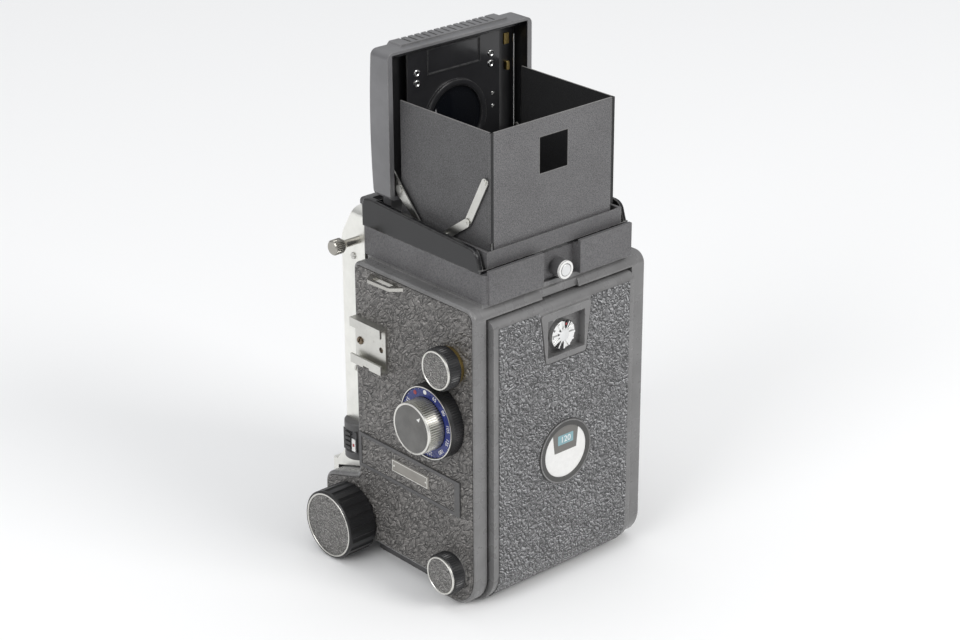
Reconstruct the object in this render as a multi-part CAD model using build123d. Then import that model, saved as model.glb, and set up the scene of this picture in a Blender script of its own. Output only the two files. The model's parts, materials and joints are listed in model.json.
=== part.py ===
from build123d import *
import math
import os

# Twin lens reflex camera with a rack-and-pinion bellows front and a lift-off folding finder hood.
# Millimetres. Origin at the mouth of the tripod socket in the base, +Z up, lenses towards -Y,
# back door towards +Y, +X to the left of somebody who holds the camera and looks into the finder.

# ---- driving dimensions: body
HALF_W = 48.5            # left side casting, outside
RIGHT_STEP = 1.8         # how much thicker the right side casting is
FRONT_Y = -33.0          # front edge of the side castings
BACK_Y = 45.0            # rear edge of the side castings
SIDE_Z = 7.5             # lower edge of the side castings, ahead of the lower spool chamber
DECK_Z = 140.9           # top deck
FOOT_Y = -57.4           # nose of the focusing bed
FOOT_NOSE_Z = 30.0       # top of the nose
FOOT_ROOT_Z = 38.0       # where the bed's sloping top meets the front edge
CHAMBER_R = 15.0         # rounding round the lower spool chamber
CHANNEL_X = 42.1         # half width of the channel that the back door closes
LEATHER_X = 48.9         # outside of the side coverings
LEATHER_BED_X = 48.0     # floor of the recess they are glued into
# ---- driving dimensions: optics
TAKING_Z = 65.0
VIEWING_Z = 115.0
GATE_SIDE = 56.0         # 6 x 6 picture
FILM_Y = 36.2
# ---- driving dimensions: spools and knobs
UPPER_SPOOL = (30.8, 113.2)      # axis, as y and z
LOWER_SPOOL = (32.3, 16.9)
SPOOL_KNOB_R = 9.0
SPOOL_KNOB_X = 57.5
CRANK_GRIP_X = -61.2      # pivot of the winding grip
SELECTOR = (22.4, 85.5)
FOCUS_AXIS = (-36.2, 16.2)
FOCUS_KNOB_R = 15.84
FOCUS_KNOB_X = 64.5
FLUTES = 20
PINION_TEETH = 16
TOOTH_MODULE = 0.75
PINION_R = PINION_TEETH * TOOTH_MODULE / 2
RACK_X = 37.0            # middle of each rack and pinion
RACK_W = 5.0
SHAFT_R = 3.0
RUN = 0.05               # radial clearance of a running fit
# ---- driving dimensions: back door
DOOR_X = 40.6
DOOR_Y = 48.0
DOOR_TOP = 134.8
DOOR_BOTTOM = 0.3
DOOR_T = 2.4
DOOR_HINGE = (22.5, 3.0)
DOOR_LEATHER_X = 37.75
DOOR_LEATHER_TOP = 131.5
LATCH_Z = 117.5
WINDOW_Z = 63.3
WINDOW_R = 14.9
# ---- driving dimensions: lens standard
STANDARD_X = 41.0
STANDARD_BACK = -34.3
STANDARD_FRONT = -50.0
STANDARD_TOP = 161.5
STANDARD_T = 2.4
BOARD_T = 2.6
LENS_LOCK = (-38.5, 146.3)
# ---- driving dimensions: finder
FINDER_X = 42.3
FINDER_FRONT = -34.1
FINDER_REAR = 44.6
FINDER_Z = 142.1
SEAM_Z = 154.9
CHEEK_T = 2.2
CHEEK_FRONT_Z = 168.2
CHEEK_REAR_Z = 164.6
FLOOR_T = 1.5
FRAME_TOP = 163.5
HOOD_TOP = 213.3
SHEET = 0.6
PIN_R = 0.4
KNUCKLE_R = 0.8
SIDE_PIVOT_X = 34.2
LEFT_PIVOT_Z = 159.5
RIGHT_PIVOT_Z = 160.5
SIDE_FRONT_Y = -16.5
SIDE_REAR_Y = 38.9
REAR_PIVOT = (39.6, 158.3)
REAR_X = 33.2
LID_X = 40.4
LID_FRONT = -28.6        # front of the lid along its edges
LID_BULGE = -30.0        # and at the middle of its height
LID_FLOOR = -25.6        # inside of the tray
LID_REAR = -17.0
LID_BOTTOM = 169.4
LID_TOP = 234.2
LID_GRIP_TOP = 235.0
GRIP_GROOVES = 14
GRIP_PITCH = 3.6
MAGNIFIER_PIVOT = (-22.3, 230.5)
MAGNIFIER_Z = 196.2      # centre of the magnifier
STAY_ROOT = (14.0, 162.8)
STAY_KNEE = (26.7, 171.7)
STAY_TIP = (37.2, 191.9)


# ---- helpers
def block(x0, x1, y0, y1, z0, z1):
    centre = Pos((x0 + x1) / 2, (y0 + y1) / 2, (z0 + z1) / 2)
    return centre * Box(abs(x1 - x0), abs(y1 - y0), abs(z1 - z0))


def rod_x(r, x0, x1, axis):
    plane = Plane(origin=(x0, axis[0], axis[1]), x_dir=(0, 1, 0), z_dir=(1, 0, 0))
    return extrude(plane * Circle(r), amount=x1 - x0)


def rod_y(r, y0, y1, x, z):
    plane = Plane(origin=(x, y0, z), x_dir=(1, 0, 0), z_dir=(0, 1, 0))
    return extrude(plane * Circle(r), amount=y1 - y0)


def rod_z(r, z0, z1, x, y):
    plane = Plane(origin=(x, y, z0), x_dir=(1, 0, 0), z_dir=(0, 0, 1))
    return extrude(plane * Circle(r), amount=z1 - z0)


def cone_x(r0, r1, x0, x1, axis):
    """A cone frustum along X, of radius r0 at x0 and r1 at x1."""
    return Pos((x0 + x1) / 2, axis[0], axis[1]) * Rot(0, 90, 0) * Cone(r0, r1, x1 - x0)


def prism(points, x0, x1):
    """Extrudes an outline in Y and Z, given as (y, z, corner radius), from x0 to x1."""
    line = FilletPolyline(*[(y, z) for y, z, _ in points], radius=[r for _, _, r in points], close=True)
    plane = Plane(origin=(x0, 0, 0), x_dir=(0, 1, 0), z_dir=(1, 0, 0))
    return extrude(plane * make_face(line), amount=x1 - x0)


def panel_y(points, y0, y1):
    """Extrudes an outline in X and Z, given as (x, z, corner radius), from y0 to y1."""
    line = FilletPolyline(*[(x, z) for x, z, _ in points], radius=[r for _, _, r in points], close=True)
    plane = Plane(origin=(0, y1, 0), x_dir=(1, 0, 0), z_dir=(0, -1, 0))
    return extrude(plane * make_face(line), amount=y1 - y0)


def plate_y(half_x, z0, z1, r, y0, y1):
    corners = [(-half_x, z0, r), (half_x, z0, r), (half_x, z1, r), (-half_x, z1, r)]
    return panel_y(corners, y0, y1)


def mirrored(shape):
    return mirror(shape, about=Plane.YZ)


def on_right(shape):
    """The same shape on the right side casting, which is the thicker one."""
    return Pos(-RIGHT_STEP, 0, 0) * mirrored(shape)


def tube_y(r_out, r_in, y0, y1, x, z):
    return rod_y(r_out, y0, y1, x, z) - rod_y(r_in, y0 - 1, y1 + 1, x, z)


def slope_z(y):
    """Height of the focusing bed's sloping top at y."""
    return FOOT_ROOT_Z + (y - FRONT_Y) * (FOOT_ROOT_Z - FOOT_NOSE_Z) / (FRONT_Y - FOOT_Y)


def side_outline(inset=0.0):
    """Outline of a side casting in Y and Z, pulled in by inset."""
    i = inset
    return [
        (FRONT_Y + i, FOOT_ROOT_Z - 1.1 * i, 2.5 + i),
        (FRONT_Y + i, DECK_Z - i, 4.0 - i),
        (BACK_Y - i, DECK_Z - i, 5.5 - i),
        (BACK_Y - i, i, CHAMBER_R - i),
        (22.0 + 0.4 * i, i, 4.0),
        (14.0 + 0.4 * i, SIDE_Z + i, 4.0),
        (FOOT_Y + i, SIDE_Z + i, 8.0 - i),
        (FOOT_Y + i, FOOT_NOSE_Z - 0.8 * i, 7.0 - i),
    ]


# ---- body
def body_casting():
    shell = prism(side_outline(), -HALF_W - RIGHT_STEP, HALF_W)
    rims = shell.faces().filter_by(Axis.X).edges()
    shell = fillet(rims, 1.3)
    shell += block(-FINDER_X + 0.3, FINDER_X - 0.3, -31, 42.5, DECK_Z - 1, FINDER_Z - 0.1)
    shell -= block(-10.5, 10.5, 43.3, 60, 135.5, 142)
    # channel for the back door, open to the rear and round the lower spool
    channel = [
        (FILM_Y + 0.2, 136.0, 0), (60, 136.0, 0), (60, -5, 0),
        (18.9, -5, 0), (18.9, 8.2, 0), (FILM_Y + 0.2, 24.0, 0),
    ]
    shell -= prism(channel, -CHANNEL_X, CHANNEL_X)
    # light tunnel behind the taking lens, widening to the picture gate
    tunnel = [(-29.7, 51, 0), (-19, 51, 0), (34, 36.5, 0), (34, 93.5, 0), (-19, 79, 0), (-29.7, 79, 0)]
    shell -= prism(tunnel, -29, 29)
    # reflex chamber under the focusing screen, with the mirror's slope
    reflex = [(-29.7, 82.5, 0), (-19, 82.5, 0), (35, 136.5, 0), (35, 138.4, 0), (-29.7, 138.4, 0)]
    shell -= prism(reflex, -33, 33)
    shell -= block(-29.5, 29.5, -18.5, 35.0, 138, 145)
    shell -= block(-31.5, 31.5, -20.5, 37.5, 139.9, 145)
    for z in (TAKING_Z, VIEWING_Z):
        shell -= rod_y(19, FRONT_Y - 1, -29, 0, z)
    # spool chambers and the seat of the picture gate
    shell -= rod_x(13.6, -32.5, 32.5, UPPER_SPOOL)
    shell -= rod_x(13.6, -32.5, 32.5, LOWER_SPOOL)
    shell -= block(-32.5, 32.5, 30.8, 40, 100, 126.8)
    shell -= block(-33.5, 33.5, 34, 40, 31, 99)
    # focusing bed: rack slots, pinion pockets and the pinion shaft's bearing
    for side in (-1, 1):
        x = side * RACK_X
        shell -= block(x - 3, x + 3, FOOT_Y - 5, 18.4, 20.9, 27.5)
        shell -= rod_x(7.6, x - 3, x + 3, FOCUS_AXIS)
    shell -= rod_x(SHAFT_R + RUN, -60, 60, FOCUS_AXIS)
    # bearings of the spool knobs' sleeves, and of the take-up drive
    for axis in (UPPER_SPOOL, LOWER_SPOOL):
        shell -= rod_x(4.4 + RUN, 30, 60, axis)
    shell -= rod_x(SHAFT_R + RUN, -60, -30, UPPER_SPOOL)
    shell += rod_x(SHAFT_R, -CHANNEL_X - 2, -28.4, LOWER_SPOOL)
    shell -= rod_x(1.0, -45, 45, DOOR_HINGE)
    shell -= rod_y(2.9 + RUN, FOOT_Y - 5, -46.6, -44.4, 19.5)
    # the base plate's seat and the coverings' recesses
    shell -= block(-42, 42, -30, 18.9, -1, SIDE_Z)
    recess = prism(side_outline(1.5), LEATHER_BED_X, 60)
    return shell - recess - on_right(recess)


def base_plate():
    plate = block(-42, 42, -30, 18.4, 0, SIDE_Z)
    plate = fillet(plate.edges().filter_by(Axis.Z), 4)
    return plate - rod_z(9.0, -1, 6.0, 0, 0)


def tripod_bush():
    return rod_z(9.0, 0, 6.0, 0, 0) - rod_z(3.175, -1, 5.5, 0, 0)


def leather_sheet():
    return prism(side_outline(1.6), LEATHER_BED_X, LEATHER_X)


def left_leather():
    sheet = leather_sheet()
    for axis, r in ((UPPER_SPOOL, 4.6), (LOWER_SPOOL, 4.6), (FOCUS_AXIS, 4.0)):
        sheet -= rod_x(r, 40, 60, axis)
    return sheet


def right_leather():
    sheet = on_right(leather_sheet())
    for axis in (UPPER_SPOOL, FOCUS_AXIS):
        sheet -= rod_x(4.0, -60, -40, axis)
    return sheet


def side_strip():
    """Raised strip along the left side, with a rim round a lower field."""
    strip = block(LEATHER_X, LEATHER_X + 0.9, -30.8, 36.2, 43.5, 60.1)
    return strip - block(LEATHER_X + 0.4, 60, -29.2, 33.0, 45.1, 58.5)


def name_badge():
    badge = block(LEATHER_X + 0.4, LEATHER_X + 1.1, -8.1, 16.1, 49.2, 55.4)
    return chamfer(badge.faces().sort_by(Axis.X)[-1].edges(), 0.3)


def strap_lug():
    corners = [(LEATHER_X, -21), (54, -17.4), (53.4, -3.5), (LEATHER_X, 0.5)]
    lug = extrude(Plane(origin=(0, 0, 136.5)) * make_face(Polyline(*corners, close=True)), amount=1.5)
    lug = fillet(lug.edges().filter_by(Axis.Z).sort_by(Axis.X)[-2:], 2.2)
    return lug - block(49.8, 52.9, -16.2, -4.8, 130, 145)


def accessory_shoe():
    """Standard cold shoe: a floor, two walls and two inturned lips that run fore and aft."""
    y0, y1, z0, z1 = -31.0, -10.6, 94.9, 116.1
    shoe = block(LEATHER_X, 50.0, y0, y1, z0, z1)
    for wall_z, lip_z in (((z0, z0 + 1.2), (z0, z0 + 4.1)), ((z1 - 1.2, z1), (z1 - 4.1, z1))):
        shoe += block(50.0, 53.1, y0, y1, *wall_z)
        shoe += block(52.1, 53.1, y0, y1, *lip_z)
    shoe -= block(51.9, 60, y0 + 8.5, y0 + 12.5, z0 - 0.1, z0 + 1.0)
    return shoe - rod_x(1.3, 40, 60, (-13.6, 105.1))


def film_gate():
    gate = block(-33.5, 33.5, 34, FILM_Y, 31, 99)
    half = GATE_SIDE / 2
    return gate - block(-half, half, 30, 40, TAKING_Z - half, TAKING_Z + half)


def reflex_mirror():
    """Front-silvered glass at 45 degrees under the screen."""
    length, thick = 68.0, 2.0
    glass = Box(58, length, thick)
    glass = Rot(45, 0, 0) * Pos(0, 0, thick / 2 + 0.1) * glass
    return Pos(0, 7.0, 108.5) * glass


def focusing_screen():
    return block(-31, 31, -20, 37, 140.0, 141.8)


def selector_base():
    base = rod_x(16.0, LEATHER_X, 55.3, SELECTOR)
    base += rod_x(16.5, 54.2, 56.0, SELECTOR) - rod_x(15.7, 54.0, 57.0, SELECTOR)
    return base - rod_x(2.5 + RUN, 50.0, 57.0, SELECTOR)


def door_hinge_pin():
    return rod_x(1.0, -44.5, 44.5, DOOR_HINGE)


def bellows():
    """Folded leather bellows between the body's front and the lens standard, closed up at infinity."""
    y0, y1, folds = -46.8, FRONT_Y - 0.2, 4
    step = (y1 - y0) / folds
    line = [(36.5, y0)]
    for i in range(folds):
        line += [(33.0, y0 + (i + 0.5) * step), (36.5, y0 + (i + 1) * step)]
    solid = None
    for i in range(folds * 2):
        (xa, ya), (xb, yb) = line[i], line[i + 1]
        faces = []
        for half_x, y in ((xa, ya), (xb, yb)):
            plane = Plane(origin=(0, y, 92), x_dir=(1, 0, 0), z_dir=(0, 1, 0))
            faces.append(plane * Rectangle(2 * half_x, 2 * half_x + 20))
        fold = loft(Sketch() + faces)
        solid = fold if solid is None else solid + fold
    return solid - block(-30, 30, -60, 0, 42, 142)


# ---- back door
def door_outline(grow=0.0):
    g = grow
    return [
        (37.0, DOOR_TOP + g, 0.0),
        (DOOR_Y + g, DOOR_TOP + g, 4.0 + g),
        (DOOR_Y + g, DOOR_BOTTOM - g, 16.0 + g),
        (22.5, DOOR_BOTTOM - g, 0.0),
        (22.5, 5.6, 0.0),
        (34.0, 8.5, 0.0),
        (39.0, 14.0, 0.0),
        (37.0, 24.0, 0.0),
    ]


def back_door():
    door = prism(door_outline(), -DOOR_X, DOOR_X)
    hollow = [
        (30.0, DOOR_TOP - DOOR_T, 0), (DOOR_Y - DOOR_T, DOOR_TOP - DOOR_T, 1.5),
        (DOOR_Y - DOOR_T, DOOR_BOTTOM + DOOR_T, 13.6), (24.0, DOOR_BOTTOM + DOOR_T, 0), (24.0, 10, 0),
    ]
    door -= prism(hollow, -DOOR_X + 2, DOOR_X - 2)
    door += rod_x(2.5, -DOOR_X, DOOR_X, DOOR_HINGE)
    door -= rod_x(1.0 + RUN, -60, 60, DOOR_HINGE)
    # pressed housing of the latch, proud of the covering, with its pocket
    housing = [(-11.5, 107.5, 1.5), (11.5, 107.5, 1.5), (14.5, 130.5, 1.5), (-14.5, 130.5, 1.5)]
    door += panel_y(housing, DOOR_Y - 1, DOOR_Y + 0.7)
    door += block(-12.3, 12.3, 43.0, DOOR_Y - 1, 108.6, 128.5)
    door -= block(-10.75, 10.75, 44.5, 60, 110.1, 127.0)
    return door - rod_y(1.5 + RUN, 40, 46, 0, LATCH_Z)


def door_leather():
    cover = prism(door_outline(0.45), -DOOR_LEATHER_X, DOOR_LEATHER_X) - prism(door_outline(), -60, 60)
    cover &= block(-60, 60, 30, 60, 3.0, DOOR_LEATHER_TOP)
    housing = [(-12.0, 107.0, 0), (12.0, 107.0, 0), (15.1, 131.6, 0), (-15.1, 131.6, 0)]
    cover -= panel_y(housing, 40, 60)
    return cover - rod_y(WINDOW_R + 0.1, 40, 60, 0, WINDOW_Z)


def window_bezel():
    return tube_y(WINDOW_R, 12.1, DOOR_Y, DOOR_Y + 1.1, 0, WINDOW_Z)


def window_disc():
    return rod_y(12.0, DOOR_Y, DOOR_Y + 0.7, 0, WINDOW_Z)


def door_latch():
    """Turning latch disc with radial ribs on its face."""
    disc = rod_y(6.5, 44.8, 46.7, 0, LATCH_Z) + rod_y(1.5, 43.2, 44.8, 0, LATCH_Z)
    for i in range(12):
        rib = Pos(0, 47.0, LATCH_Z) * Rot(0, 30 * i, 0) * Pos(3.9, 0, 0) * Box(4.6, 0.8, 0.9)
        disc += rib
    return disc + rod_y(1.7, 46.7, 47.4, 0, LATCH_Z)


def pressure_plate():
    plate = plate_y(29, WINDOW_Z - 29, WINDOW_Z + 29, 8, 37.0, 38.6)
    return plate + rod_y(5.0, 38.6, 45.2, 0, WINDOW_Z)


# ---- film transport
def spool(axis, bore_left, bore_right):
    body = rod_x(4.8, -30.7, 30.7, axis)
    for x in (-30.7, 29.3):
        body += rod_x(12.4, x, x + 1.4, axis)
    body -= rod_x(bore_left, 27.0, 31.0, axis)
    return body - rod_x(bore_right, -31.0, -27.0, axis)


def knob_ring(axis):
    """Collar and sleeve that a spool knob turns in, and that pulls out with it."""
    ring = rod_x(8.2, LEATHER_X + 0.05, 50.6, axis) + rod_x(4.4, 41.0, LEATHER_X + 0.05, axis)
    return ring - rod_x(SHAFT_R + RUN, 30, 60, axis)


def spool_knob(axis):
    knob = rod_x(SPOOL_KNOB_R, 50.7, SPOOL_KNOB_X - 0.5, axis)
    knob = chamfer(knob.edges().filter_by(GeomType.CIRCLE), 0.4)
    knob += rod_x(SPOOL_KNOB_R - 1.0, SPOOL_KNOB_X - 0.6, SPOOL_KNOB_X, axis)
    return knob + rod_x(SHAFT_R, 28.4, 51.0, axis)


def wind_crank():
    """Film wind on the right side: disc, shaft and a crank arm that points forward."""
    y, z = UPPER_SPOOL
    crank = rod_x(8.6, -54.4, -50.9, UPPER_SPOOL)
    crank += rod_x(4.5, -58.8, -54.3, UPPER_SPOOL)
    crank += block(-58.8, -55.8, y - 24, y, z - 4.5, z + 4.5)
    crank += rod_x(4.5, -58.8, -55.8, (y - 24, z))
    for dz in (-3.6, 3.6):
        crank += block(-63.2, -58.8, y - 25.6, y - 21.4, z + dz - 0.9, z + dz + 0.9)
    crank -= rod_z(0.8, z - 6, z + 6, CRANK_GRIP_X, y - 23.5)
    crank += rod_x(SHAFT_R, -51.0, -27.4, UPPER_SPOOL)
    return crank


def crank_handle():
    """Grip that lies along the crank arm and swings out to wind."""
    y, z = UPPER_SPOOL
    grip = rod_y(2.2, y - 23.5, y - 3.0, CRANK_GRIP_X, z)
    grip += rod_y(3.0, y - 17.5, y - 3.5, CRANK_GRIP_X - 0.8, z)
    grip += rod_z(0.75, z - 4.4, z + 4.4, CRANK_GRIP_X, y - 23.5)
    return grip


def selector_knob():
    """Knob on the dial: a ribbed, tapering skirt under a flat cap."""
    knob = cone_x(11.4, 10.2, 55.6, 62.6, SELECTOR)
    for i in range(60):
        angle = math.radians(6 * i)
        y = SELECTOR[0] + 11.3 * math.cos(angle)
        z = SELECTOR[1] + 11.3 * math.sin(angle)
        knob -= cone_x(0.42, 0.02, 55.0, 62.0, (y, z))
    knob += rod_x(10.2, 62.6, 64.0, SELECTOR)
    knob += rod_x(2.5, 50.4, 55.6, SELECTOR)
    return knob


# ---- focusing drive
def pinion(x0, x1):
    """Spur pinion with straight-flanked teeth, one tooth pointing up into the rack."""
    root, tip = PINION_R - 0.9, PINION_R + 0.6
    half_root, half_tip = 0.62, 0.26
    flanks = [
        (-half_root, root - 0.3, 0), (half_root, root - 0.3, 0), (half_tip, tip, 0), (-half_tip, tip, 0),
    ]
    tooth = prism(flanks, x0, x1)
    gear = rod_x(root, x0, x1, FOCUS_AXIS)
    for i in range(PINION_TEETH):
        gear += Pos(0, *FOCUS_AXIS) * Rot(360 * i / PINION_TEETH, 0, 0) * tooth
    return gear


def focus_shaft():
    shaft = rod_x(SHAFT_R, -FOCUS_KNOB_X + 2, FOCUS_KNOB_X - 2, FOCUS_AXIS)
    for side in (-1, 1):
        shaft += pinion(side * RACK_X - RACK_W / 2, side * RACK_X + RACK_W / 2)
    return shaft


def focus_knob(inner):
    """Fluted focusing knob with a shallow recess in its face, reaching in to x = inner."""
    knob = rod_x(FOCUS_KNOB_R, inner, FOCUS_KNOB_X, FOCUS_AXIS)
    knob = chamfer(knob.edges().filter_by(GeomType.CIRCLE), 0.5)
    for i in range(FLUTES):
        angle = math.radians(360 * (i + 0.5) / FLUTES)
        y = FOCUS_AXIS[0] + (FOCUS_KNOB_R + 0.9) * math.cos(angle)
        z = FOCUS_AXIS[1] + (FOCUS_KNOB_R + 0.9) * math.sin(angle)
        knob -= rod_x(1.7, 48.0, FOCUS_KNOB_X - 1.6, (y, z))
    knob -= rod_x(15.0, FOCUS_KNOB_X - 0.6, 70, FOCUS_AXIS)
    return knob - rod_x(SHAFT_R, 40, FOCUS_KNOB_X - 2, FOCUS_AXIS)


def focus_racks():
    """Two racks that carry the lens standard, in mesh with the pinions below them."""
    pitch_z = FOCUS_AXIS[1] + PINION_R
    pitch = math.pi * TOOTH_MODULE
    y0, y1 = -58.6, 17.0
    racks = None
    for side in (-1, 1):
        x0, x1 = side * RACK_X - RACK_W / 2, side * RACK_X + RACK_W / 2
        line = [(y0, pitch_z + 4.6), (y0, pitch_z + 0.9)]
        count = int((y1 - y0) / pitch)
        first = FOCUS_AXIS[0] + pitch * math.ceil((y0 - FOCUS_AXIS[0]) / pitch) + pitch / 2
        for i in range(count):
            y = first + i * pitch
            if y < y0 + 0.8 or y > y1 - 0.8:
                continue
            line += [(y - 0.62, pitch_z + 0.9), (y - 0.2, pitch_z - 0.6)]
            line += [(y + 0.2, pitch_z - 0.6), (y + 0.62, pitch_z + 0.9)]
        line += [(y1, pitch_z + 0.9), (y1, pitch_z + 4.6)]
        plane = Plane(origin=(x0, 0, 0), x_dir=(0, 1, 0), z_dir=(1, 0, 0))
        bar = extrude(plane * make_face(Polyline(*line, close=True)), amount=x1 - x0)
        racks = bar if racks is None else racks + bar
    return racks


# ---- lens standard
def standard_outline(inset=0.0):
    i = inset
    bottom = 0.5
    return [
        (STANDARD_BACK + 20 * (i > 0), slope_z(STANDARD_BACK) + bottom - 20 * (i > 0), 0),
        (STANDARD_BACK + 20 * (i > 0), STANDARD_TOP - i, 0),
        (-41.0, STANDARD_TOP - i, 3.0),
        (STANDARD_FRONT + i, 146.0, 8.0),
        (STANDARD_FRONT + i, 43.0, 10.0),
        (-58.6 + i, slope_z(-58.6) + 3.0, 0.0),
        (-58.6 + i, slope_z(-58.6) + bottom - 20 * (i > 0), 0),
    ]


def lens_standard():
    """Cast front that carries the lens board: a shell, open at the back, flared at the foot."""
    shell = prism(standard_outline(), -STANDARD_X, STANDARD_X)
    arch = [
        (-STANDARD_X, 10, 0), (STANDARD_X, 10, 0),
        (STANDARD_X, STANDARD_TOP + 0.1, 5.0), (-STANDARD_X, STANDARD_TOP + 0.1, 5.0),
    ]
    shell &= panel_y(arch, -80, 0)
    inner = prism(standard_outline(STANDARD_T), -STANDARD_X + STANDARD_T, STANDARD_X - STANDARD_T)
    shell -= inner & panel_y([(x * 0.94, z - 3.0 * (z > 20), r * 0.7) for x, z, r in arch], -80, 0)
    # apron in front of the bed's nose, which the racks are screwed to
    shell += block(-40, 40, -62.0, -58.6, 20.0, slope_z(-58.6) + 3.0)
    for z in (TAKING_Z, VIEWING_Z):
        shell -= rod_y(18.0, -60, -40, 0, z)
    return shell - rod_x(1.7 + RUN, 30, 60, LENS_LOCK)


def standard_top_cover():
    outline = [
        (-41.0, STANDARD_TOP, 0), (-41.0, 164.6, 1.8), (-36.0, 165.7, 2.0), (-34.5, 165.7, 0),
        (-34.5, STANDARD_TOP, 0),
    ]
    ends = [(-37.5, 150, 0), (37.5, 150, 0), (37.5, 165.75, 3.0), (-37.5, 165.75, 3.0)]
    return prism(outline, -37.5, 37.5) & panel_y(ends, -60, 0)


def side_housing():
    """Rounded housing on the standard's left front corner, with a scale window in its side."""
    housing = rod_z(7.4, 40.2, 58.0, 38.0, -44.0)
    housing = fillet(housing.edges().group_by(Axis.Z)[-1], 0.8)
    housing -= block(0, STANDARD_X, STANDARD_FRONT, 0, 30, 70)
    housing &= block(34.0, 60, -60, STANDARD_BACK, 30, 70)
    housing -= prism(standard_outline(), 0, STANDARD_X)
    return housing - block(44.6, 60, -49.5, -38.5, 43.5, 54.5)


def lens_board():
    board = plate_y(33.5, 46.2, 141.0, 7.0, STANDARD_FRONT - BOARD_T, STANDARD_FRONT)
    for z in (TAKING_Z, VIEWING_Z):
        board -= rod_y(16.5, -60, -40, 0, z)
    return board


def barrel(z, r_front, y_front, y_ring):
    """Lens barrel with a stepped front, a rear tube through the lens board, and its glass seat."""
    front = STANDARD_FRONT - BOARD_T
    tube = rod_y(r_front, y_ring, front, 0, z) + rod_y(r_front - 4.5, y_front, y_ring, 0, z)
    tube += rod_y(16.5, front, -38.0, 0, z)
    tube -= rod_y(14.0, -48.0, -30, 0, z)
    tube -= rod_y(15.5, y_front - 1, y_front + 2.5, 0, z)
    return tube - rod_y(13.0, y_front + 1, -47, 0, z)


def viewing_barrel():
    return barrel(VIEWING_Z, 22.5, -65.6, -60.0)


def taking_barrel():
    """Taking lens with its leaf-shutter case, whose slot the cocking lever moves in."""
    case = barrel(TAKING_Z, 23.5, -65.6, -57.4)
    case -= tube_y(30.0, 20.0, -56.6, -54.9, 0, TAKING_Z) & block(-30, -4, -60, -50, 40, 90)
    return case


def lens_glass(z):
    """Two elements in one barrel: a domed front glass and a rear glass."""
    front = rod_y(13.0, -63.0, -59.0, 0, z)
    dome = Pos(0, -63.0 + 26.0, z) * Sphere(28.4) & rod_y(13.0, -66, -62.9, 0, z)
    rear = rod_y(13.0, -49.5, -47.0, 0, z)
    return (front + dome) + rear


def shutter_speed_ring():
    ring = tube_y(23.4, 19.0 + RUN, -60.6, -57.5, 0, TAKING_Z)
    for i in range(36):
        angle = math.radians(10 * i)
        x, z = 23.7 * math.cos(angle), TAKING_Z + 23.7 * math.sin(angle)
        ring -= rod_y(0.7, -61, -57, x, z)
    return ring


def cocking_lever():
    """Shutter cocking lever: a thin sector in the case's slot with a tab outside it."""
    arm = tube_y(23.0, 20.1, -56.5, -55.0, 0, TAKING_Z)
    arm &= panel_y([(0, TAKING_Z, 0), (-40, TAKING_Z + 4, 0), (-40, TAKING_Z + 16, 0)], -60, -50)
    tab = Pos(0, -55.75, TAKING_Z) * Rot(0, 14.04, 0) * Pos(-25.6, 0, 0) * Box(6.2, 1.4, 4.0)
    return arm + tab


def lens_lock_knob():
    knob = rod_x(1.7, 36.6, 50.4, LENS_LOCK) + cone_x(1.7, 3.0, 48.4, 50.4, LENS_LOCK)
    grip = rod_x(3.2, 50.4, 55.6, LENS_LOCK)
    grip = chamfer(grip.edges().filter_by(GeomType.CIRCLE), 0.4)
    return knob + grip


def shutter_release():
    button = rod_y(2.9, -60.4, -49.5, -44.4, 19.5)
    return fillet(button.edges().group_by(Axis.Y)[0], 0.8)


# ---- finder
def finder_base():
    base = block(-FINDER_X, FINDER_X, FINDER_FRONT, FINDER_REAR, FINDER_Z, SEAM_Z)
    base = fillet(base.edges().filter_by(Axis.Z), 2.5)
    base -= block(-29.5, 29.5, -18.5, 37.5, 130, 170)
    base -= block(-10.5, 10.5, 41.0, 60, 130, 170)
    for side in (-1, 1):
        x0, x1 = sorted((side * 10.5, side * 40.7))
        cheek = block(x0, x1, 41.8, 45.7, FINDER_Z, 157.0) - block(x0 - 1, x1 + 1, 30, 44.0, SEAM_Z, 160)
        base += cheek
    return base - rod_y(3.2 + RUN, 38.5, 60, 0, 147.3)


def finder_cheeks():
    """Glossy upper part: two cheeks on a floor, joined across the front."""
    floor = block(-FINDER_X, FINDER_X, FINDER_FRONT + 0.4, 41.6, SEAM_Z, SEAM_Z + FLOOR_T)
    floor -= block(-32.5, 32.5, -18.5, 37.5, 150, 160)
    outline = [
        (FINDER_FRONT + 0.4, SEAM_Z, 0), (FINDER_FRONT + 0.4, CHEEK_FRONT_Z - 1.0, 2.0),
        (-28.0, CHEEK_FRONT_Z, 3.0), (38.6, CHEEK_REAR_Z, 5.0), (41.6, SEAM_Z, 0),
    ]
    cheek = prism(outline, FINDER_X - CHEEK_T, FINDER_X)
    cheek = fillet(cheek.faces().sort_by(Axis.X)[-1].edges().group_by(Axis.Z)[1:], 0.9)
    floor += cheek
    floor += mirrored(cheek)
    floor += block(-FINDER_X, FINDER_X, FINDER_FRONT + 0.4, FINDER_FRONT + 2.0, SEAM_Z, 164.5)
    return floor


def hood_frame():
    """Inner frame with the hood panels' hinge pins, which the hood stands in when it is up."""
    z0 = SEAM_Z + FLOOR_T
    frame = block(-38.3, 38.3, -20.4, 41.6, z0, FRAME_TOP) - block(-36.9, 36.9, -18.8, 40.9, 150, 170)
    frame -= block(-40, 40, -22, -10, 162.3, 170)
    for side, z in ((1, LEFT_PIVOT_Z), (-1, RIGHT_PIVOT_Z)):
        frame += rod_y(PIN_R, -19.2, 41.2, side * SIDE_PIVOT_X, z)
    frame += rod_x(PIN_R, -37.2, 37.2, REAR_PIVOT) - block(-34.9, -33.6, 30, 50, 159.0, 165)
    return frame - rod_x(0.9, -40, 40, STAY_ROOT)


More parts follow.
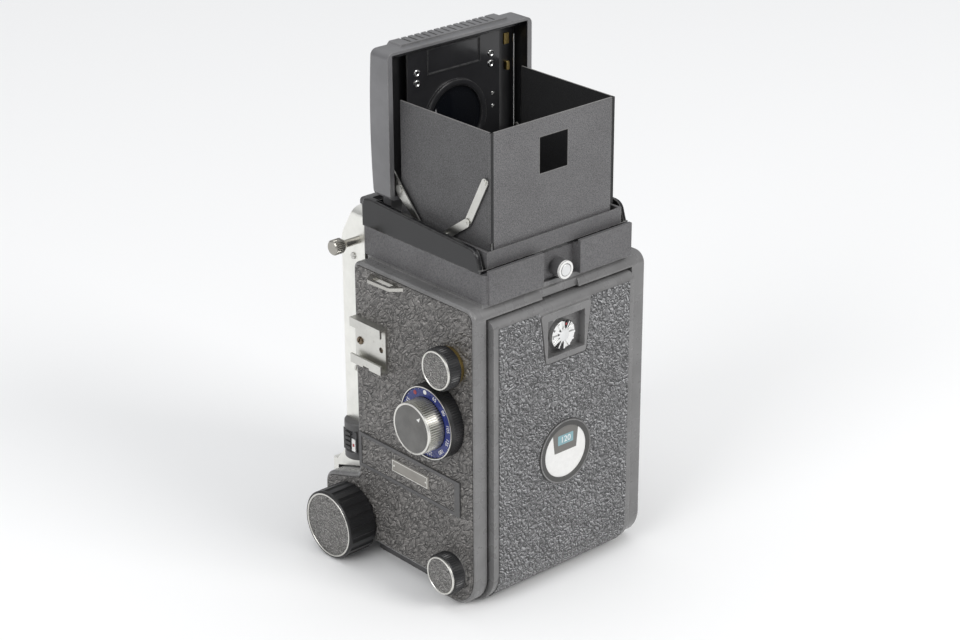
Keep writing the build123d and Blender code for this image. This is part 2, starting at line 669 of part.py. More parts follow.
def hood_side(side, pivot_z):
    """One side panel of the hood, with its hinge knuckle along the foot."""
    x = side * SIDE_PIVOT_X
    panel = block(x - SHEET / 2, x + SHEET / 2, SIDE_FRONT_Y, SIDE_REAR_Y, pivot_z, HOOD_TOP)
    panel += rod_y(KNUCKLE_R, SIDE_FRONT_Y + 1, 37.0, x, pivot_z)
    panel -= rod_y(PIN_R + RUN, -30, 60, x, pivot_z)
    foot = block(x - 2, x + 2, 37.0, 45, pivot_z - 1, pivot_z + 1.2)
    foot += block(x - 2, x + 2, -30, SIDE_FRONT_Y + 1, pivot_z - 1, pivot_z + 1.2)
    return panel - foot


def hood_rear():
    """Rear panel, which fits between the side panels, with the square sports-finder window."""
    y, z = REAR_PIVOT
    panel = block(-REAR_X, REAR_X, y - SHEET / 2, y + SHEET / 2, z, HOOD_TOP)
    panel -= block(-7.9, 7.9, 30, 50, 189.5, 205.4)
    panel += rod_x(KNUCKLE_R, -REAR_X, REAR_X, REAR_PIVOT)
    return panel - rod_x(PIN_R + RUN, -60, 60, REAR_PIVOT)


def hood_lid():
    """Lid, standing open: a shallow tray with a bulged back and a grooved grip on its upper edge."""
    foot, head = (LID_FRONT, LID_BOTTOM), (LID_FRONT, LID_TOP)
    middle = (LID_BULGE, (LID_BOTTOM + LID_TOP) / 2)
    front = ThreePointArc(foot, middle, head)
    sides = Polyline(head, (LID_REAR, LID_TOP), (LID_REAR, LID_BOTTOM), foot)
    plane = Plane(origin=(-LID_X, 0, 0), x_dir=(0, 1, 0), z_dir=(1, 0, 0))
    lid = extrude(plane * make_face([front, *sides.edges()]), amount=2 * LID_X)
    lid &= plate_y(LID_X, LID_BOTTOM, LID_TOP, 3.0, LID_BULGE - 1, LID_REAR)
    lid = fillet(lid.faces().sort_by(Axis.Y)[0].edges(), 1.2)
    grip = block(-30.5, 30.5, LID_FRONT - 0.6, LID_FLOOR + 4.5, LID_TOP - 8.0, LID_GRIP_TOP)
    grip = chamfer(grip.edges().filter_by(Axis.Y), 1.2)
    lid += grip
    for i in range(GRIP_GROOVES):
        x = (i - (GRIP_GROOVES - 1) / 2) * GRIP_PITCH
        lid -= block(x - 0.6, x + 0.6, -40, LID_FLOOR + 3.5, LID_GRIP_TOP - 0.7, LID_GRIP_TOP + 1)
    lid -= plate_y(LID_X - 2.6, LID_BOTTOM + 2.0, LID_TOP - 1.4, 1.0, LID_FLOOR, 0)
    # two ears stand on the finder's front
    for x0, x1 in ((-33.0, -27.0), (27.0, 33.0)):
        lid += block(x0, x1, -30.6, LID_FLOOR, SEAM_Z + FLOOR_T, LID_BOTTOM + 4)
    return lid - rod_x(0.8, -38.6, 38.6, MAGNIFIER_PIVOT)


def lid_stays():
    """Thin three-cornered stays that hold the lid upright, one inside each cheek."""
    corners = [
        (-24.5, 188.5, 0.6), (-14.0, 177.0, 2.2), (-1.5, 163.6, 0.5), (-5.0, 163.6, 0.5), (-17.0, 172.5, 1.5),
    ]
    stay = prism(corners, 36.3, 36.85) + rod_x(1.8, 36.2, 37.5, (-15.0, 175.2))
    return stay + mirrored(stay)


def release_button():
    button = rod_y(3.2, 40.3, 47.6, 0, 147.3) + rod_y(4.1, 42.8, 48.0, 0, 147.3)
    return button - tube_y(3.3, 2.7, 47.5, 49.0, 0, 147.3)


def magnifier_plate():
    y, z = MAGNIFIER_PIVOT
    plate = plate_y(26.0, 176.5, z + 0.3, 1.0, y - 0.4, y + 0.4)
    plate += rod_x(0.75, -38.2, 38.2, MAGNIFIER_PIVOT)
    plate += tube_y(17.4, 14.6, y - 1.6, y + 1.6, 0, MAGNIFIER_Z)
    plate -= rod_y(14.6, y - 3, y + 3, 0, MAGNIFIER_Z)
    plate -= block(-14.0, 14.0, y + 0.1, y + 1, 219.0, 229.0)
    return plate


def magnifier_lens():
    y = MAGNIFIER_PIVOT[0]
    lens = rod_y(14.6, y - 1.0, y + 0.6, 0, MAGNIFIER_Z)
    dome = Pos(0, y + 0.5 - 50.0, MAGNIFIER_Z) * Sphere(51.6)
    return lens + (dome & rod_y(14.4, y + 0.5, y + 4, 0, MAGNIFIER_Z))


def link(start, end, width, x0, x1):
    """Flat bar with round ends between two pivots, each given as y and z."""
    angle = math.degrees(math.atan2(end[1] - start[1], end[0] - start[0]))
    middle = Pos((x0 + x1) / 2, (start[0] + end[0]) / 2, (start[1] + end[1]) / 2)
    bar = middle * Rot(angle, 0, 0) * Box(x1 - x0, math.dist(start, end), width)
    return bar + rod_x(width / 2, x0, x1, start) + rod_x(width / 2, x0, x1, end)


def stay_lower_links():
    bar = link(STAY_ROOT, STAY_KNEE, 3.6, 36.0, 36.55) + rod_x(0.85, 36.0, 38.0, STAY_ROOT)
    bar -= rod_x(0.6 + RUN, 30, 40, STAY_KNEE)
    return bar + mirrored(bar)


def stay_upper_links():
    bar = link(STAY_KNEE, STAY_TIP, 3.6, 35.25, 35.8) + rod_x(0.6, 35.3, 36.8, STAY_KNEE)
    bar += rod_x(1.1, 35.2, 36.2, STAY_TIP)
    return bar + mirrored(bar)


PARTS = {
    "body_casting": body_casting,
    "base_plate": base_plate,
    "tripod_bush": tripod_bush,
    "left_leather": left_leather,
    "right_leather": right_leather,
    "side_strip": side_strip,
    "name_badge": name_badge,
    "strap_lug_left": strap_lug,
    "strap_lug_right": lambda: on_right(strap_lug()),
    "accessory_shoe": accessory_shoe,
    "film_gate": film_gate,
    "reflex_mirror": reflex_mirror,
    "focusing_screen": focusing_screen,
    "selector_base": selector_base,
    "door_hinge_pin": door_hinge_pin,
    "bellows": bellows,
    "back_door": back_door,
    "door_leather": door_leather,
    "window_bezel": window_bezel,
    "window_disc": window_disc,
    "door_latch": door_latch,
    "pressure_plate": pressure_plate,
    "upper_spool_ring": lambda: knob_ring(UPPER_SPOOL),
    "upper_spool_knob": lambda: spool_knob(UPPER_SPOOL),
    "lower_spool_ring": lambda: knob_ring(LOWER_SPOOL),
    "lower_spool_knob": lambda: spool_knob(LOWER_SPOOL),
    "supply_spool": lambda: spool(LOWER_SPOOL, SHAFT_R + 0.3, SHAFT_R + 0.3),
    "takeup_spool": lambda: spool(UPPER_SPOOL, SHAFT_R + 0.3, SHAFT_R),
    "wind_crank": wind_crank,
    "crank_handle": crank_handle,
    "selector_knob": selector_knob,
    "focus_shaft": focus_shaft,
    "focus_knob_left": lambda: focus_knob(49.4),
    "focus_knob_right": lambda: mirrored(focus_knob(51.2)),
    "focus_racks": focus_racks,
    "lens_standard": lens_standard,
    "standard_top_cover": standard_top_cover,
    "side_housing": side_housing,
    "lens_board": lens_board,
    "viewing_barrel": viewing_barrel,
    "viewing_glass": lambda: lens_glass(VIEWING_Z),
    "taking_barrel": taking_barrel,
    "taking_glass": lambda: lens_glass(TAKING_Z),
    "shutter_speed_ring": shutter_speed_ring,
    "cocking_lever": cocking_lever,
    "lens_lock_knob": lens_lock_knob,
    "shutter_release": shutter_release,
    "finder_base": finder_base,
    "finder_cheeks": finder_cheeks,
    "hood_frame": hood_frame,
    "hood_side_left": lambda: hood_side(1, LEFT_PIVOT_Z),
    "hood_side_right": lambda: hood_side(-1, RIGHT_PIVOT_Z),
    "hood_rear": hood_rear,
    "hood_lid": hood_lid,
    "lid_stays": lid_stays,
    "release_button": release_button,
    "magnifier_plate": magnifier_plate,
    "magnifier_lens": magnifier_lens,
    "stay_lower_links": stay_lower_links,
    "stay_upper_links": stay_upper_links,
}

os.makedirs("parts", exist_ok=True)
for name, make in PARTS.items():
    export_step(make(), os.path.join("parts", name + ".step"))
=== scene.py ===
"""Looks of the twin lens reflex camera, built around its CAD frame. Lengths are in millimetres."""
import json
import math

import bmesh
import bpy
from mathutils import Matrix, Vector


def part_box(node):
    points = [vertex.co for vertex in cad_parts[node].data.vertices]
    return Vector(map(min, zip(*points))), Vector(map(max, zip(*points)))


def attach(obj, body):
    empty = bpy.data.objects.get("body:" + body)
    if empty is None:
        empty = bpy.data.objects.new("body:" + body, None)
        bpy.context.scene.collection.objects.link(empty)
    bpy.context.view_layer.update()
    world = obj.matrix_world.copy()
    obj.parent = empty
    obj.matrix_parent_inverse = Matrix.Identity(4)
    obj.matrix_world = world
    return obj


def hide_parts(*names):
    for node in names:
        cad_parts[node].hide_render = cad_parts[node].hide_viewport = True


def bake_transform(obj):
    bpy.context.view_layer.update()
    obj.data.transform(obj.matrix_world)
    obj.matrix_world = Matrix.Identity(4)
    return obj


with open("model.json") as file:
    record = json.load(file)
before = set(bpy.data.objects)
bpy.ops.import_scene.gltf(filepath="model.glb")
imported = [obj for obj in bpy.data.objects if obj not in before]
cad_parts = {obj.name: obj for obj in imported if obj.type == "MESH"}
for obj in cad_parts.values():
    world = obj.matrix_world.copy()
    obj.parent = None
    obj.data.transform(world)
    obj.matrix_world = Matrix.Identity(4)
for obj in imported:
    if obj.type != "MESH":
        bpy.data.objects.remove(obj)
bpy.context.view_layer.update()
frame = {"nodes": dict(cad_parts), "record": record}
MM = 0.001
NODES = frame["nodes"]


def box(node):
    """Lowest and highest corner of a CAD node, in millimetres."""
    low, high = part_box(node)
    return low / MM, high / MM


# ---- camera, floor and light
VIEW = (138.33, 23.866, -0.267)             # azimuth, elevation and roll of the camera, in degrees
LENS_MM = 88.92
TARGET = (5.485, 0.114, 110.522)            # the point that the camera looks at
DISTANCE = 1030.449                         # from that point to the camera
STUDIO_CENTRE = (0, 0, 100)                 # the point that the softboxes light
SKY_LOW, SKY_HIGH = 0.16, 1.05              # strength of the light from the horizon and from overhead


def aim(azimuth, elevation, roll=0.0):
    """Axes of a camera that looks at the object from there: right, up and back."""
    a, e, r = (math.radians(v) for v in (azimuth, elevation, roll))
    back = Vector((math.sin(a) * math.cos(e), -math.cos(a) * math.cos(e), math.sin(e)))
    right = Vector((math.cos(a), math.sin(a), 0))
    up = back.cross(right)
    return right * math.cos(r) + up * math.sin(r), up * math.cos(r) - right * math.sin(r), back


def placed(axes, origin):
    """The matrix of an object with those axes at that point."""
    matrix = Matrix(axes).transposed().to_4x4()
    matrix.translation = origin
    return matrix


def make_camera():
    """The camera at the viewing angle, aimed at the target."""
    axes = aim(*VIEW)
    data = bpy.data.cameras.new("camera")
    data.lens, data.sensor_width = LENS_MM, 36.0
    data.clip_start, data.clip_end = 0.02, 20
    camera = bpy.data.objects.new("camera", data)
    camera.matrix_world = placed(axes, (Vector(TARGET) + axes[2] * DISTANCE) * MM)
    bpy.context.scene.collection.objects.link(camera)
    bpy.context.scene.camera = camera


def softbox(name, azimuth, elevation, distance, size, watts, colour=(1, 1, 1)):
    """A square lamp that faces the object. Its distance and size are in metres."""
    data = bpy.data.lights.new(name, "AREA")
    data.shape, data.size, data.energy, data.color = "SQUARE", size, watts, colour
    light = bpy.data.objects.new(name, data)
    axes = aim(azimuth, elevation)
    light.matrix_world = placed(axes, Vector(STUDIO_CENTRE) * MM + axes[2] * distance)
    bpy.context.scene.collection.objects.link(light)


def make_studio():
    """A sky that is brighter overhead, two softboxes and a plain pale floor."""
    world = bpy.data.worlds.new("studio")
    bpy.context.scene.world = world
    world.use_nodes = True
    nodes, links = world.node_tree.nodes, world.node_tree.links
    nodes["Background"].inputs["Color"].default_value = (0.975, 0.985, 1.0, 1)
    height = nodes.new("ShaderNodeSeparateXYZ")
    links.new(nodes.new("ShaderNodeTexCoord").outputs["Generated"], height.inputs[0])
    glow = nodes.new("ShaderNodeMapRange")
    links.new(height.outputs["Z"], glow.inputs["Value"])
    glow.inputs["To Min"].default_value, glow.inputs["To Max"].default_value = SKY_LOW, SKY_HIGH
    links.new(glow.outputs[0], nodes["Background"].inputs["Strength"])
    softbox("key", 196, 34, 2.4, 1.0, 24.0, (1.0, 0.995, 0.98))
    softbox("fill", 100, 30, 2.6, 1.2, 22.0)
    bm = bmesh.new()
    bmesh.ops.create_grid(bm, x_segments=8, y_segments=8, size=6.0)
    mesh = bpy.data.meshes.new("floor")
    bm.to_mesh(mesh)
    bm.free()
    floor = bpy.data.objects.new("floor", mesh)
    bpy.context.scene.collection.objects.link(floor)
    paper = Shade("floor_paper")
    paper.set(base=(0.93, 0.93, 0.93), rough=0.9, specular=0.2)
    mesh.materials.append(paper.material)
    bpy.context.scene.view_settings.view_transform = "Standard"


# ---- shading
class Shade:
    """A material under construction: its node tree and its shader."""

    def __init__(self, name):
        """A plain material, whose nodes the other methods add."""
        self.material = bpy.data.materials.new(name)
        self.material.use_nodes = True
        self.tree = self.material.node_tree
        self.shader = self.tree.nodes["Principled BSDF"]
        self._place = None

    def add(self, kind, inputs=(), **props):
        """A new node with those inputs and properties."""
        node = self.tree.nodes.new(kind)
        for key, value in props.items():
            setattr(node, key, value)
        for key, value in dict(inputs).items():
            self.put(node.inputs[key], value)
        return node

    def put(self, socket, value):
        """Links another node's output to a socket, or sets the socket to a value."""
        if isinstance(value, bpy.types.NodeSocket):
            self.tree.links.new(value, socket)
        elif isinstance(value, (tuple, list)) and len(value) == 3 and socket.type == "RGBA":
            socket.default_value = (*value, 1)
        else:
            socket.default_value = value

    def set(self, base=None, rough=None, metal=None, specular=None, coat=None, coat_rough=None, normal=None):
        """Links or sets the shader's own sockets, and gives the finished material."""
        names = {
            "Base Color": base, "Roughness": rough, "Metallic": metal, "Specular IOR Level": specular,
            "Coat Weight": coat, "Coat Roughness": coat_rough, "Normal": normal,
        }
        for key, value in names.items():
            if value is not None:
                self.put(self.shader.inputs[key], value)
        return self.material

    @property
    def place(self):
        """The point on the surface, in the frame that the object has at rest."""
        if self._place is None:
            self._place = self.add("ShaderNodeTexCoord").outputs["Object"]
        return self._place

    def stretched(self, scale, turn=None, where=None):
        """The place, turned and then squeezed, so that a texture runs that way."""
        where = where or self.place
        if turn:
            where = self.add("ShaderNodeMapping", {"Vector": where, "Rotation": turn}).outputs[0]
        return self.add("ShaderNodeMapping", {"Vector": where, "Scale": scale}).outputs[0]

    def noise(self, size_mm, detail=2.0, rough=0.5, where=None, distortion=0.0, out=0):
        """A cloudy value about 0.5, with features of that size. Output 1 is a colour instead."""
        values = {
            "Vector": where or self.place, "Scale": 1 / (size_mm * MM), "Detail": detail, "Roughness": rough,
            "Distortion": distortion,
        }
        return self.add("ShaderNodeTexNoise", values).outputs[out]

    def maths(self, operation, a, b=0.0, c=0.0):
        """One sum done on values that vary over the surface."""
        node = self.add("ShaderNodeMath", operation=operation)
        for socket, value in zip(node.inputs, (a, b, c)):
            self.put(socket, value)
        return node.outputs[0]

    def remap(self, value, low, high, to_low=0.0, to_high=1.0):
        """The range from low to high spread over the new range, and clamped to it."""
        values = {"Value": value, "From Min": low, "From Max": high, "To Min": to_low, "To Max": to_high}
        return self.add("ShaderNodeMapRange", values).outputs[0]

    def mix(self, factor, a, b):
        """Colour a where the factor is 0, and b where it is 1."""
        node = self.add("ShaderNodeMix", data_type="RGBA")
        self.put(node.inputs[0], factor)
        self.put(node.inputs[6], a)
        self.put(node.inputs[7], b)
        return node.outputs[2]

    def warped(self, size_mm, amount_mm, where=None):
        """The place, pushed about by a noise of that size and amount."""
        where = where or self.place
        push = self.add("ShaderNodeVectorMath", operation="SUBTRACT")
        self.put(push.inputs[0], self.noise(size_mm, 2.0, where=where, out=1))
        self.put(push.inputs[1], (0.5, 0.5, 0.5))
        far = self.add("ShaderNodeVectorMath", operation="SCALE")
        self.put(far.inputs[0], push.outputs[0])
        self.put(far.inputs["Scale"], amount_mm * MM * 2)
        moved = self.add("ShaderNodeVectorMath", operation="ADD")
        self.put(moved.inputs[0], where)
        self.put(moved.inputs[1], far.outputs[0])
        return moved.outputs[0]

    def bump(self, height, depth_mm, strength=1.0, under=None):
        """Normals tilted by a relief of that depth, laid over the normals under it."""
        values = {"Height": height, "Distance": depth_mm * MM, "Strength": strength}
        if under is not None:
            values["Normal"] = under
        return self.add("ShaderNodeBump", values).outputs[0]

    def edges(self, radius_mm):
        """1 along sharp edges, where a rounded normal would leave the face's own, and 0 elsewhere."""
        flat = self.add("ShaderNodeNewGeometry")
        dot = self.add("ShaderNodeVectorMath", operation="DOT_PRODUCT")
        self.put(dot.inputs[0], self.soft(radius_mm))
        self.put(dot.inputs[1], flat.outputs["Normal"])
        return self.remap(dot.outputs["Value"], 0.995, 0.9)

    def soft(self, radius_mm):
        """Normals rounded off over sharp corners, so that they catch the light."""
        return self.add("ShaderNodeBevel", {"Radius": radius_mm * MM}, samples=4).outputs[0]

    def outside(self, normal):
        """1 on the faces of a thin sheet that look that way at rest, 0 on its other side."""
        facing = self.add("ShaderNodeTexCoord").outputs["Normal"]
        dot = self.add("ShaderNodeVectorMath", operation="DOT_PRODUCT")
        self.put(dot.inputs[0], facing)
        self.put(dot.inputs[1], normal)
        return self.maths("GREATER_THAN", dot.outputs["Value"], 0.5)

    def scaled(self, colour, factor):
        """A colour made lighter or darker by a factor that varies over the surface."""
        node = self.add("ShaderNodeVectorMath", operation="SCALE")
        self.put(node.inputs[0], colour)
        self.put(node.inputs["Scale"], factor)
        return node.outputs[0]

    def within(self, low, high):
        """1 inside that box, given in millimetres, 0 outside it."""
        split = self.add("ShaderNodeSeparateXYZ", {"Vector": self.place})
        found = None
        for out, a, b in zip(split.outputs, low, high):
            near = self.maths("COMPARE", out, (a + b) / 2 * MM, (b - a) / 2 * MM)
            found = near if found is None else self.maths("MULTIPLY", found, near)
        return found


def toned(colour, by):
    """A colour made lighter or darker by a plain factor."""
    return tuple(c * by for c in colour)


WORN_AND_HIGHLIT = (0.40, 0.39, 0.38)                 # paint worn thin along an edge, and a painted highlight there
RUBBED_CRACKLE = (0.36, 0.34, 0.33)
MATT_BLACK = (0.016, 0.016, 0.017)          # the hidden side of the hood's panels
DEEP_BLACK = (0.009, 0.009, 0.010)          # the inside of the lid
STAIN = (0.16, 0.11, 0.07)                  # spots where plating has gone
LID_HOLLOW = ((-37.95, -25.7, 171.3), (37.95, -16.0, 232.95))


def paint(name, colour, rough, depth=0.012, wear_and_highlight=0.35, coat=0.0, dark=None, rim_mm=0.35):
    """Enamel on metal: slight orange peel, uneven gloss, and a paler line along the edges that is partly
    wear and partly a painted highlight.

    rim_mm is the width of that line. dark is a box inside which the paint is deep black.
    """
    s = Shade(name)
    cloud = s.noise(22, 4, 0.6)
    smear = s.noise(6, 3, 0.5)
    tone = s.mix(s.remap(cloud, 0.35, 0.68), toned(colour, 0.86), toned(colour, 1.14))
    # paler edge line: partly wear, partly a painted highlight along the edges
    wear_and_highlight_mask = s.maths("MULTIPLY", s.edges(rim_mm), s.remap(s.noise(2.4, 4, 0.6), 0.36, 0.62, 0.25, 1.0))
    base = s.mix(s.maths("MULTIPLY", wear_and_highlight_mask, wear_and_highlight), tone, WORN_AND_HIGHLIT)
    if dark:
        base = s.mix(s.within(*dark), base, DEEP_BLACK)
    shine = s.remap(smear, 0.3, 0.7, rough - 0.04, rough + 0.05)
    peel = s.bump(s.noise(0.35, 3, 0.6), depth, 0.6, under=s.soft(0.45))
    return s.set(base=base, rough=shine, specular=0.5, coat=coat, coat_rough=0.12, normal=peel)


def crackle(name, colour, grain_mm=0.42, depth=0.08, contrast=0.5, outer=None):
    """Wrinkle-finish paint: a fine worm-like relief, with painted shade in its valleys and paler tops.

    outer is the way that a thin sheet's painted side faces. Its other side is matt black.
    """
    s = Shade(name)
    where = s.warped(0.6, 0.12)
    worms = s.noise(grain_mm, 3, 0.55, where=where, distortion=0.6)
    relief = s.remap(worms, 0.34, 0.66)
    cloud = s.remap(s.noise(30, 4, 0.6), 0.35, 0.66, 0.9, 1.1)
    # painted shade in the wrinkles' valleys and paler tops: the tone follows the relief's height
    tone = s.scaled(s.mix(relief, toned(colour, 1 - contrast), toned(colour, 1 + contrast)), cloud)
    base = s.mix(s.maths("MULTIPLY", s.edges(0.3), 0.35), tone, RUBBED_CRACKLE)
    shine = s.remap(relief, 0, 1, 0.57, 0.35)
    if outer:
        seen = s.outside(outer)
        base = s.mix(seen, MATT_BLACK, base)
        shine = s.maths("ADD", shine, s.maths("MULTIPLY", s.maths("SUBTRACT", 1.0, seen), 0.2))
    wrinkles = s.bump(relief, depth, 0.8, under=s.soft(0.3))
    return s.set(base=base, rough=shine, specular=0.45, normal=wrinkles)


RAKE_MM = (-0.16, 0.16, 0.34)               # offset from a fold of leather to its flank that faces the light, used to paint a highlight on that flank


def leather(name, low, high, size_mm, depth, stretch=(1, 1, 1), turn=None, rough=0.32, contrast=1.9):
    """Pressed leatherette: worm-like folds, with a painted highlight on their upper flanks and painted shade
    in the creases.

    low and high are the colours of a painted-shade crease and of a painted-highlight flank.
    """
    s = Shade(name)

    def folds(start):
        """Height of the folds: two sizes of noise, each creased where it crosses its middle value."""
        where = s.warped(size_mm * 2.4, size_mm * 0.7, where=s.stretched(stretch, turn, start))
        total = 0.0
        for size, share in ((size_mm, 0.62), (size_mm * 0.5, 0.38)):
            swing = s.maths("MULTIPLY_ADD", s.noise(size, 1.0, 0.4, where=where), 2.0, -1.0)
            away = s.remap(s.maths("ABSOLUTE", swing), 0.0, 0.42)
            total = s.maths("MULTIPLY_ADD", s.maths("SQRT", away), share, total)
        return total

    beside = s.add("ShaderNodeVectorMath", operation="ADD")
    s.put(beside.inputs[0], s.place)
    s.put(beside.inputs[1], tuple(v * MM for v in RAKE_MM))
    height = folds(s.place)
    # painted highlight: the flank that faces the light, found from the fold's height just beside it
    flank = s.maths("SUBTRACT", height, folds(beside.outputs[0]))
    lit = s.remap(flank, -0.35, 0.42, 0.0, 0.65)
    # painted light: pale on the tops and lit flanks, painted shade down in the creases
    painted_light = s.maths("MULTIPLY_ADD", s.remap(height, 0.0, 0.8), 0.35, lit)
    cloud = s.remap(s.noise(14, 4, 0.6), 0.34, 0.68, 0.9, 1.1)
    tone = s.scaled(s.mix(s.maths("POWER", painted_light, contrast), low, high), cloud)
    shine = s.remap(height, 0.1, 0.9, rough + 0.25, rough)
    return s.set(base=tone, rough=shine, specular=0.6, normal=s.bump(height, depth))


def metal(name, colour, rough, brushed=None, pitted=0.0, grain_mm=0.3):
    """Bare or plated metal. brushed is the stretch of its fine lines, along which they run."""
    s = Shade(name)
    lines = s.noise(grain_mm, 3, 0.6, where=s.stretched(brushed) if brushed else s.place)
    cloud = s.noise(9, 4, 0.6)
    tone = s.mix(s.remap(cloud, 0.35, 0.68), toned(colour, 0.9), colour)
    if pitted:
        spots = s.maths("MULTIPLY", s.remap(s.noise(1.6, 5, 0.65), 0.6, 0.72), pitted)
        tone = s.mix(spots, tone, STAIN)
    shine = s.remap(lines, 0.3, 0.7, rough - 0.06, rough + 0.08)
    return s.set(base=tone, metal=1.0, rough=shine, normal=s.bump(lines, 0.004, 0.5))


def plastic(name, colour, rough):
    """Moulded plastic with a fine grain."""
    s = Shade(name)
    tone = s.mix(s.remap(s.noise(7, 4, 0.6), 0.35, 0.66), toned(colour, 0.85), toned(colour, 1.15))
    fine = s.noise(0.25, 2, 0.5)
    shine = s.remap(fine, 0.3, 0.7, rough - 0.05, rough + 0.07)
    return s.set(base=tone, rough=shine, normal=s.bump(fine, 0.008, 0.6))


def enamel(name, colour, rough=0.35):
    """Printed or filled enamel: flat colour with a faint unevenness."""
    s = Shade(name)
    tone = s.mix(s.remap(s.noise(1.5, 3, 0.6), 0.3, 0.7), toned(colour, 0.93), colour)
    return s.set(base=tone, rough=s.remap(s.noise(3, 3), 0.3, 0.7, rough - 0.05, rough + 0.08), specular=0.5)


def coated_glass(name, tint):
    """Lens glass with a coating that shows at a slant."""
    s = Shade(name)
    slant = s.add("ShaderNodeLayerWeight", {"Blend": 0.4}).outputs["Facing"]
    base = s.mix(slant, (0.004, 0.005, 0.007), tint)
    dust = s.remap(s.noise(2.0, 5, 0.7), 0.5, 0.8, 0.02, 0.09)
    return s.set(base=base, rough=dust, specular=0.8, coat=1.0, coat_rough=0.03)


# every finish, by the name that the pieces use
M = {
    "gloss": paint("gloss_black", (0.162, 0.160, 0.160), 0.28, coat=0.25, rim_mm=0.6),
    # a much darker copy of the black paint: painted shade for the dark that the slanted cheeks reflect
    "cheek": paint("cheek_black", (0.008, 0.008, 0.009), 0.2, wear_and_highlight=0.6, rim_mm=0.7),
    "side": paint("side_black", (0.085, 0.084, 0.085), 0.40),
    "satin": paint("satin_black", (0.090, 0.089, 0.091), 0.40, wear_and_highlight=0.25),
    # a lighter copy of the satin black paint, a painted reflection on the lid's sides
    "lid": paint("lid_black", (0.145, 0.144, 0.149), 0.32, wear_and_highlight=0.4, coat=0.25, dark=LID_HOLLOW, rim_mm=0.6),
    "knob": plastic("knob_black", (0.014, 0.014, 0.015), 0.34),
    "cap": plastic("cap_grey", (0.115, 0.113, 0.108), 0.45),
    # one crackle paint in three tones by panel: the rear lighter, the left darkest, the right between, which
    # is painted light and shade
    "crackle_left": crackle("crackle_left", (0.088, 0.087, 0.089), outer=(1, 0, 0)),
    "crackle_right": crackle("crackle_right", (0.098, 0.097, 0.099), outer=(-1, 0, 0)),
    "crackle_rear": crackle("crackle_rear", (0.122, 0.120, 0.123), outer=(0, 1, 0)),
    "fine_crackle": crackle("fine_crackle_black", (0.106, 0.104, 0.107), grain_mm=0.5, depth=0.06,
                            contrast=0.28),
    "inner": paint("inner_black", (0.012, 0.012, 0.013), 0.55, wear_and_highlight=0.1),
    "inner_gloss": paint("inner_gloss_black", (0.024, 0.024, 0.026), 0.17, depth=0.003, wear_and_highlight=0.2),
    "leather": leather("grained_leather", (0.016, 0.015, 0.014), (0.35, 0.334, 0.319), 2.8, 0.6,
                       contrast=2.1, stretch=(1, 1.4, 0.72), turn=(0.7, 0, 0)),
    "door_leather": leather("door_leather", (0.012, 0.012, 0.013), (0.47, 0.47, 0.478), 2.1, 0.5,
                            contrast=2.5),
    "knob_leather": leather("knob_leather", (0.026, 0.025, 0.023), (0.36, 0.35, 0.335), 1.3, 0.3),
    "bellows": leather("bellows_leather", (0.012, 0.012, 0.012), (0.03, 0.03, 0.03), 0.7, 0.05, rough=0.6),
    "cream": metal("satin_chrome", (0.91, 0.905, 0.86), 0.36, grain_mm=0.4),
    "chrome": metal("bright_chrome", (0.86, 0.86, 0.85), 0.16),
    "button": metal("button_chrome", (0.80, 0.80, 0.80), 0.34),
    "steel": metal("satin_steel", (0.66, 0.655, 0.62), 0.33, brushed=(1, 1, 12), pitted=0.25),
    "machined": metal("machined_steel", (0.42, 0.405, 0.37), 0.3, pitted=0.3),
    "dull_ring": metal("dull_ring", (0.78, 0.77, 0.73), 0.3, pitted=0.2),
    "pale_ring": metal("pale_ring", (0.62, 0.615, 0.57), 0.42, pitted=0.2),
    "rust": metal("browned_steel", (0.20, 0.155, 0.11), 0.4, pitted=0.5),
    "brass": metal("worn_brass", (0.50, 0.37, 0.14), 0.3, pitted=0.2),
    "plate": metal("silver_plate", (0.34, 0.325, 0.30), 0.36, brushed=(1, 10, 1)),
    "worn_edge": plastic("worn_edge", (0.20, 0.195, 0.19), 0.45),
    "plastic": plastic("black_plastic", (0.035, 0.035, 0.037), 0.42),
    "white": enamel("white_enamel", (0.80, 0.795, 0.78)),
    "pale_mark": enamel("pale_mark", (0.16, 0.16, 0.16)),
    "grey": enamel("grey_enamel", (0.15, 0.145, 0.135), 0.42),
    "bezel": paint("bezel_grey", (0.055, 0.054, 0.052), 0.42),
    "red": enamel("red_enamel", (0.36, 0.03, 0.035)),
    "blue": enamel("blue_enamel", (0.018, 0.030, 0.17), 0.25),
    "teal": enamel("teal_enamel", (0.22, 0.38, 0.42)),
    "glass": coated_glass("optical_glass", (0.05, 0.03, 0.08)),
    "loupe": coated_glass("loupe_glass", (0.006, 0.006, 0.008)),
    "lug": metal("lug_chrome", (0.50, 0.49, 0.46), 0.28, pitted=0.4),
    "mirror": metal("silvered_glass", (0.9, 0.9, 0.9), 0.05),
}

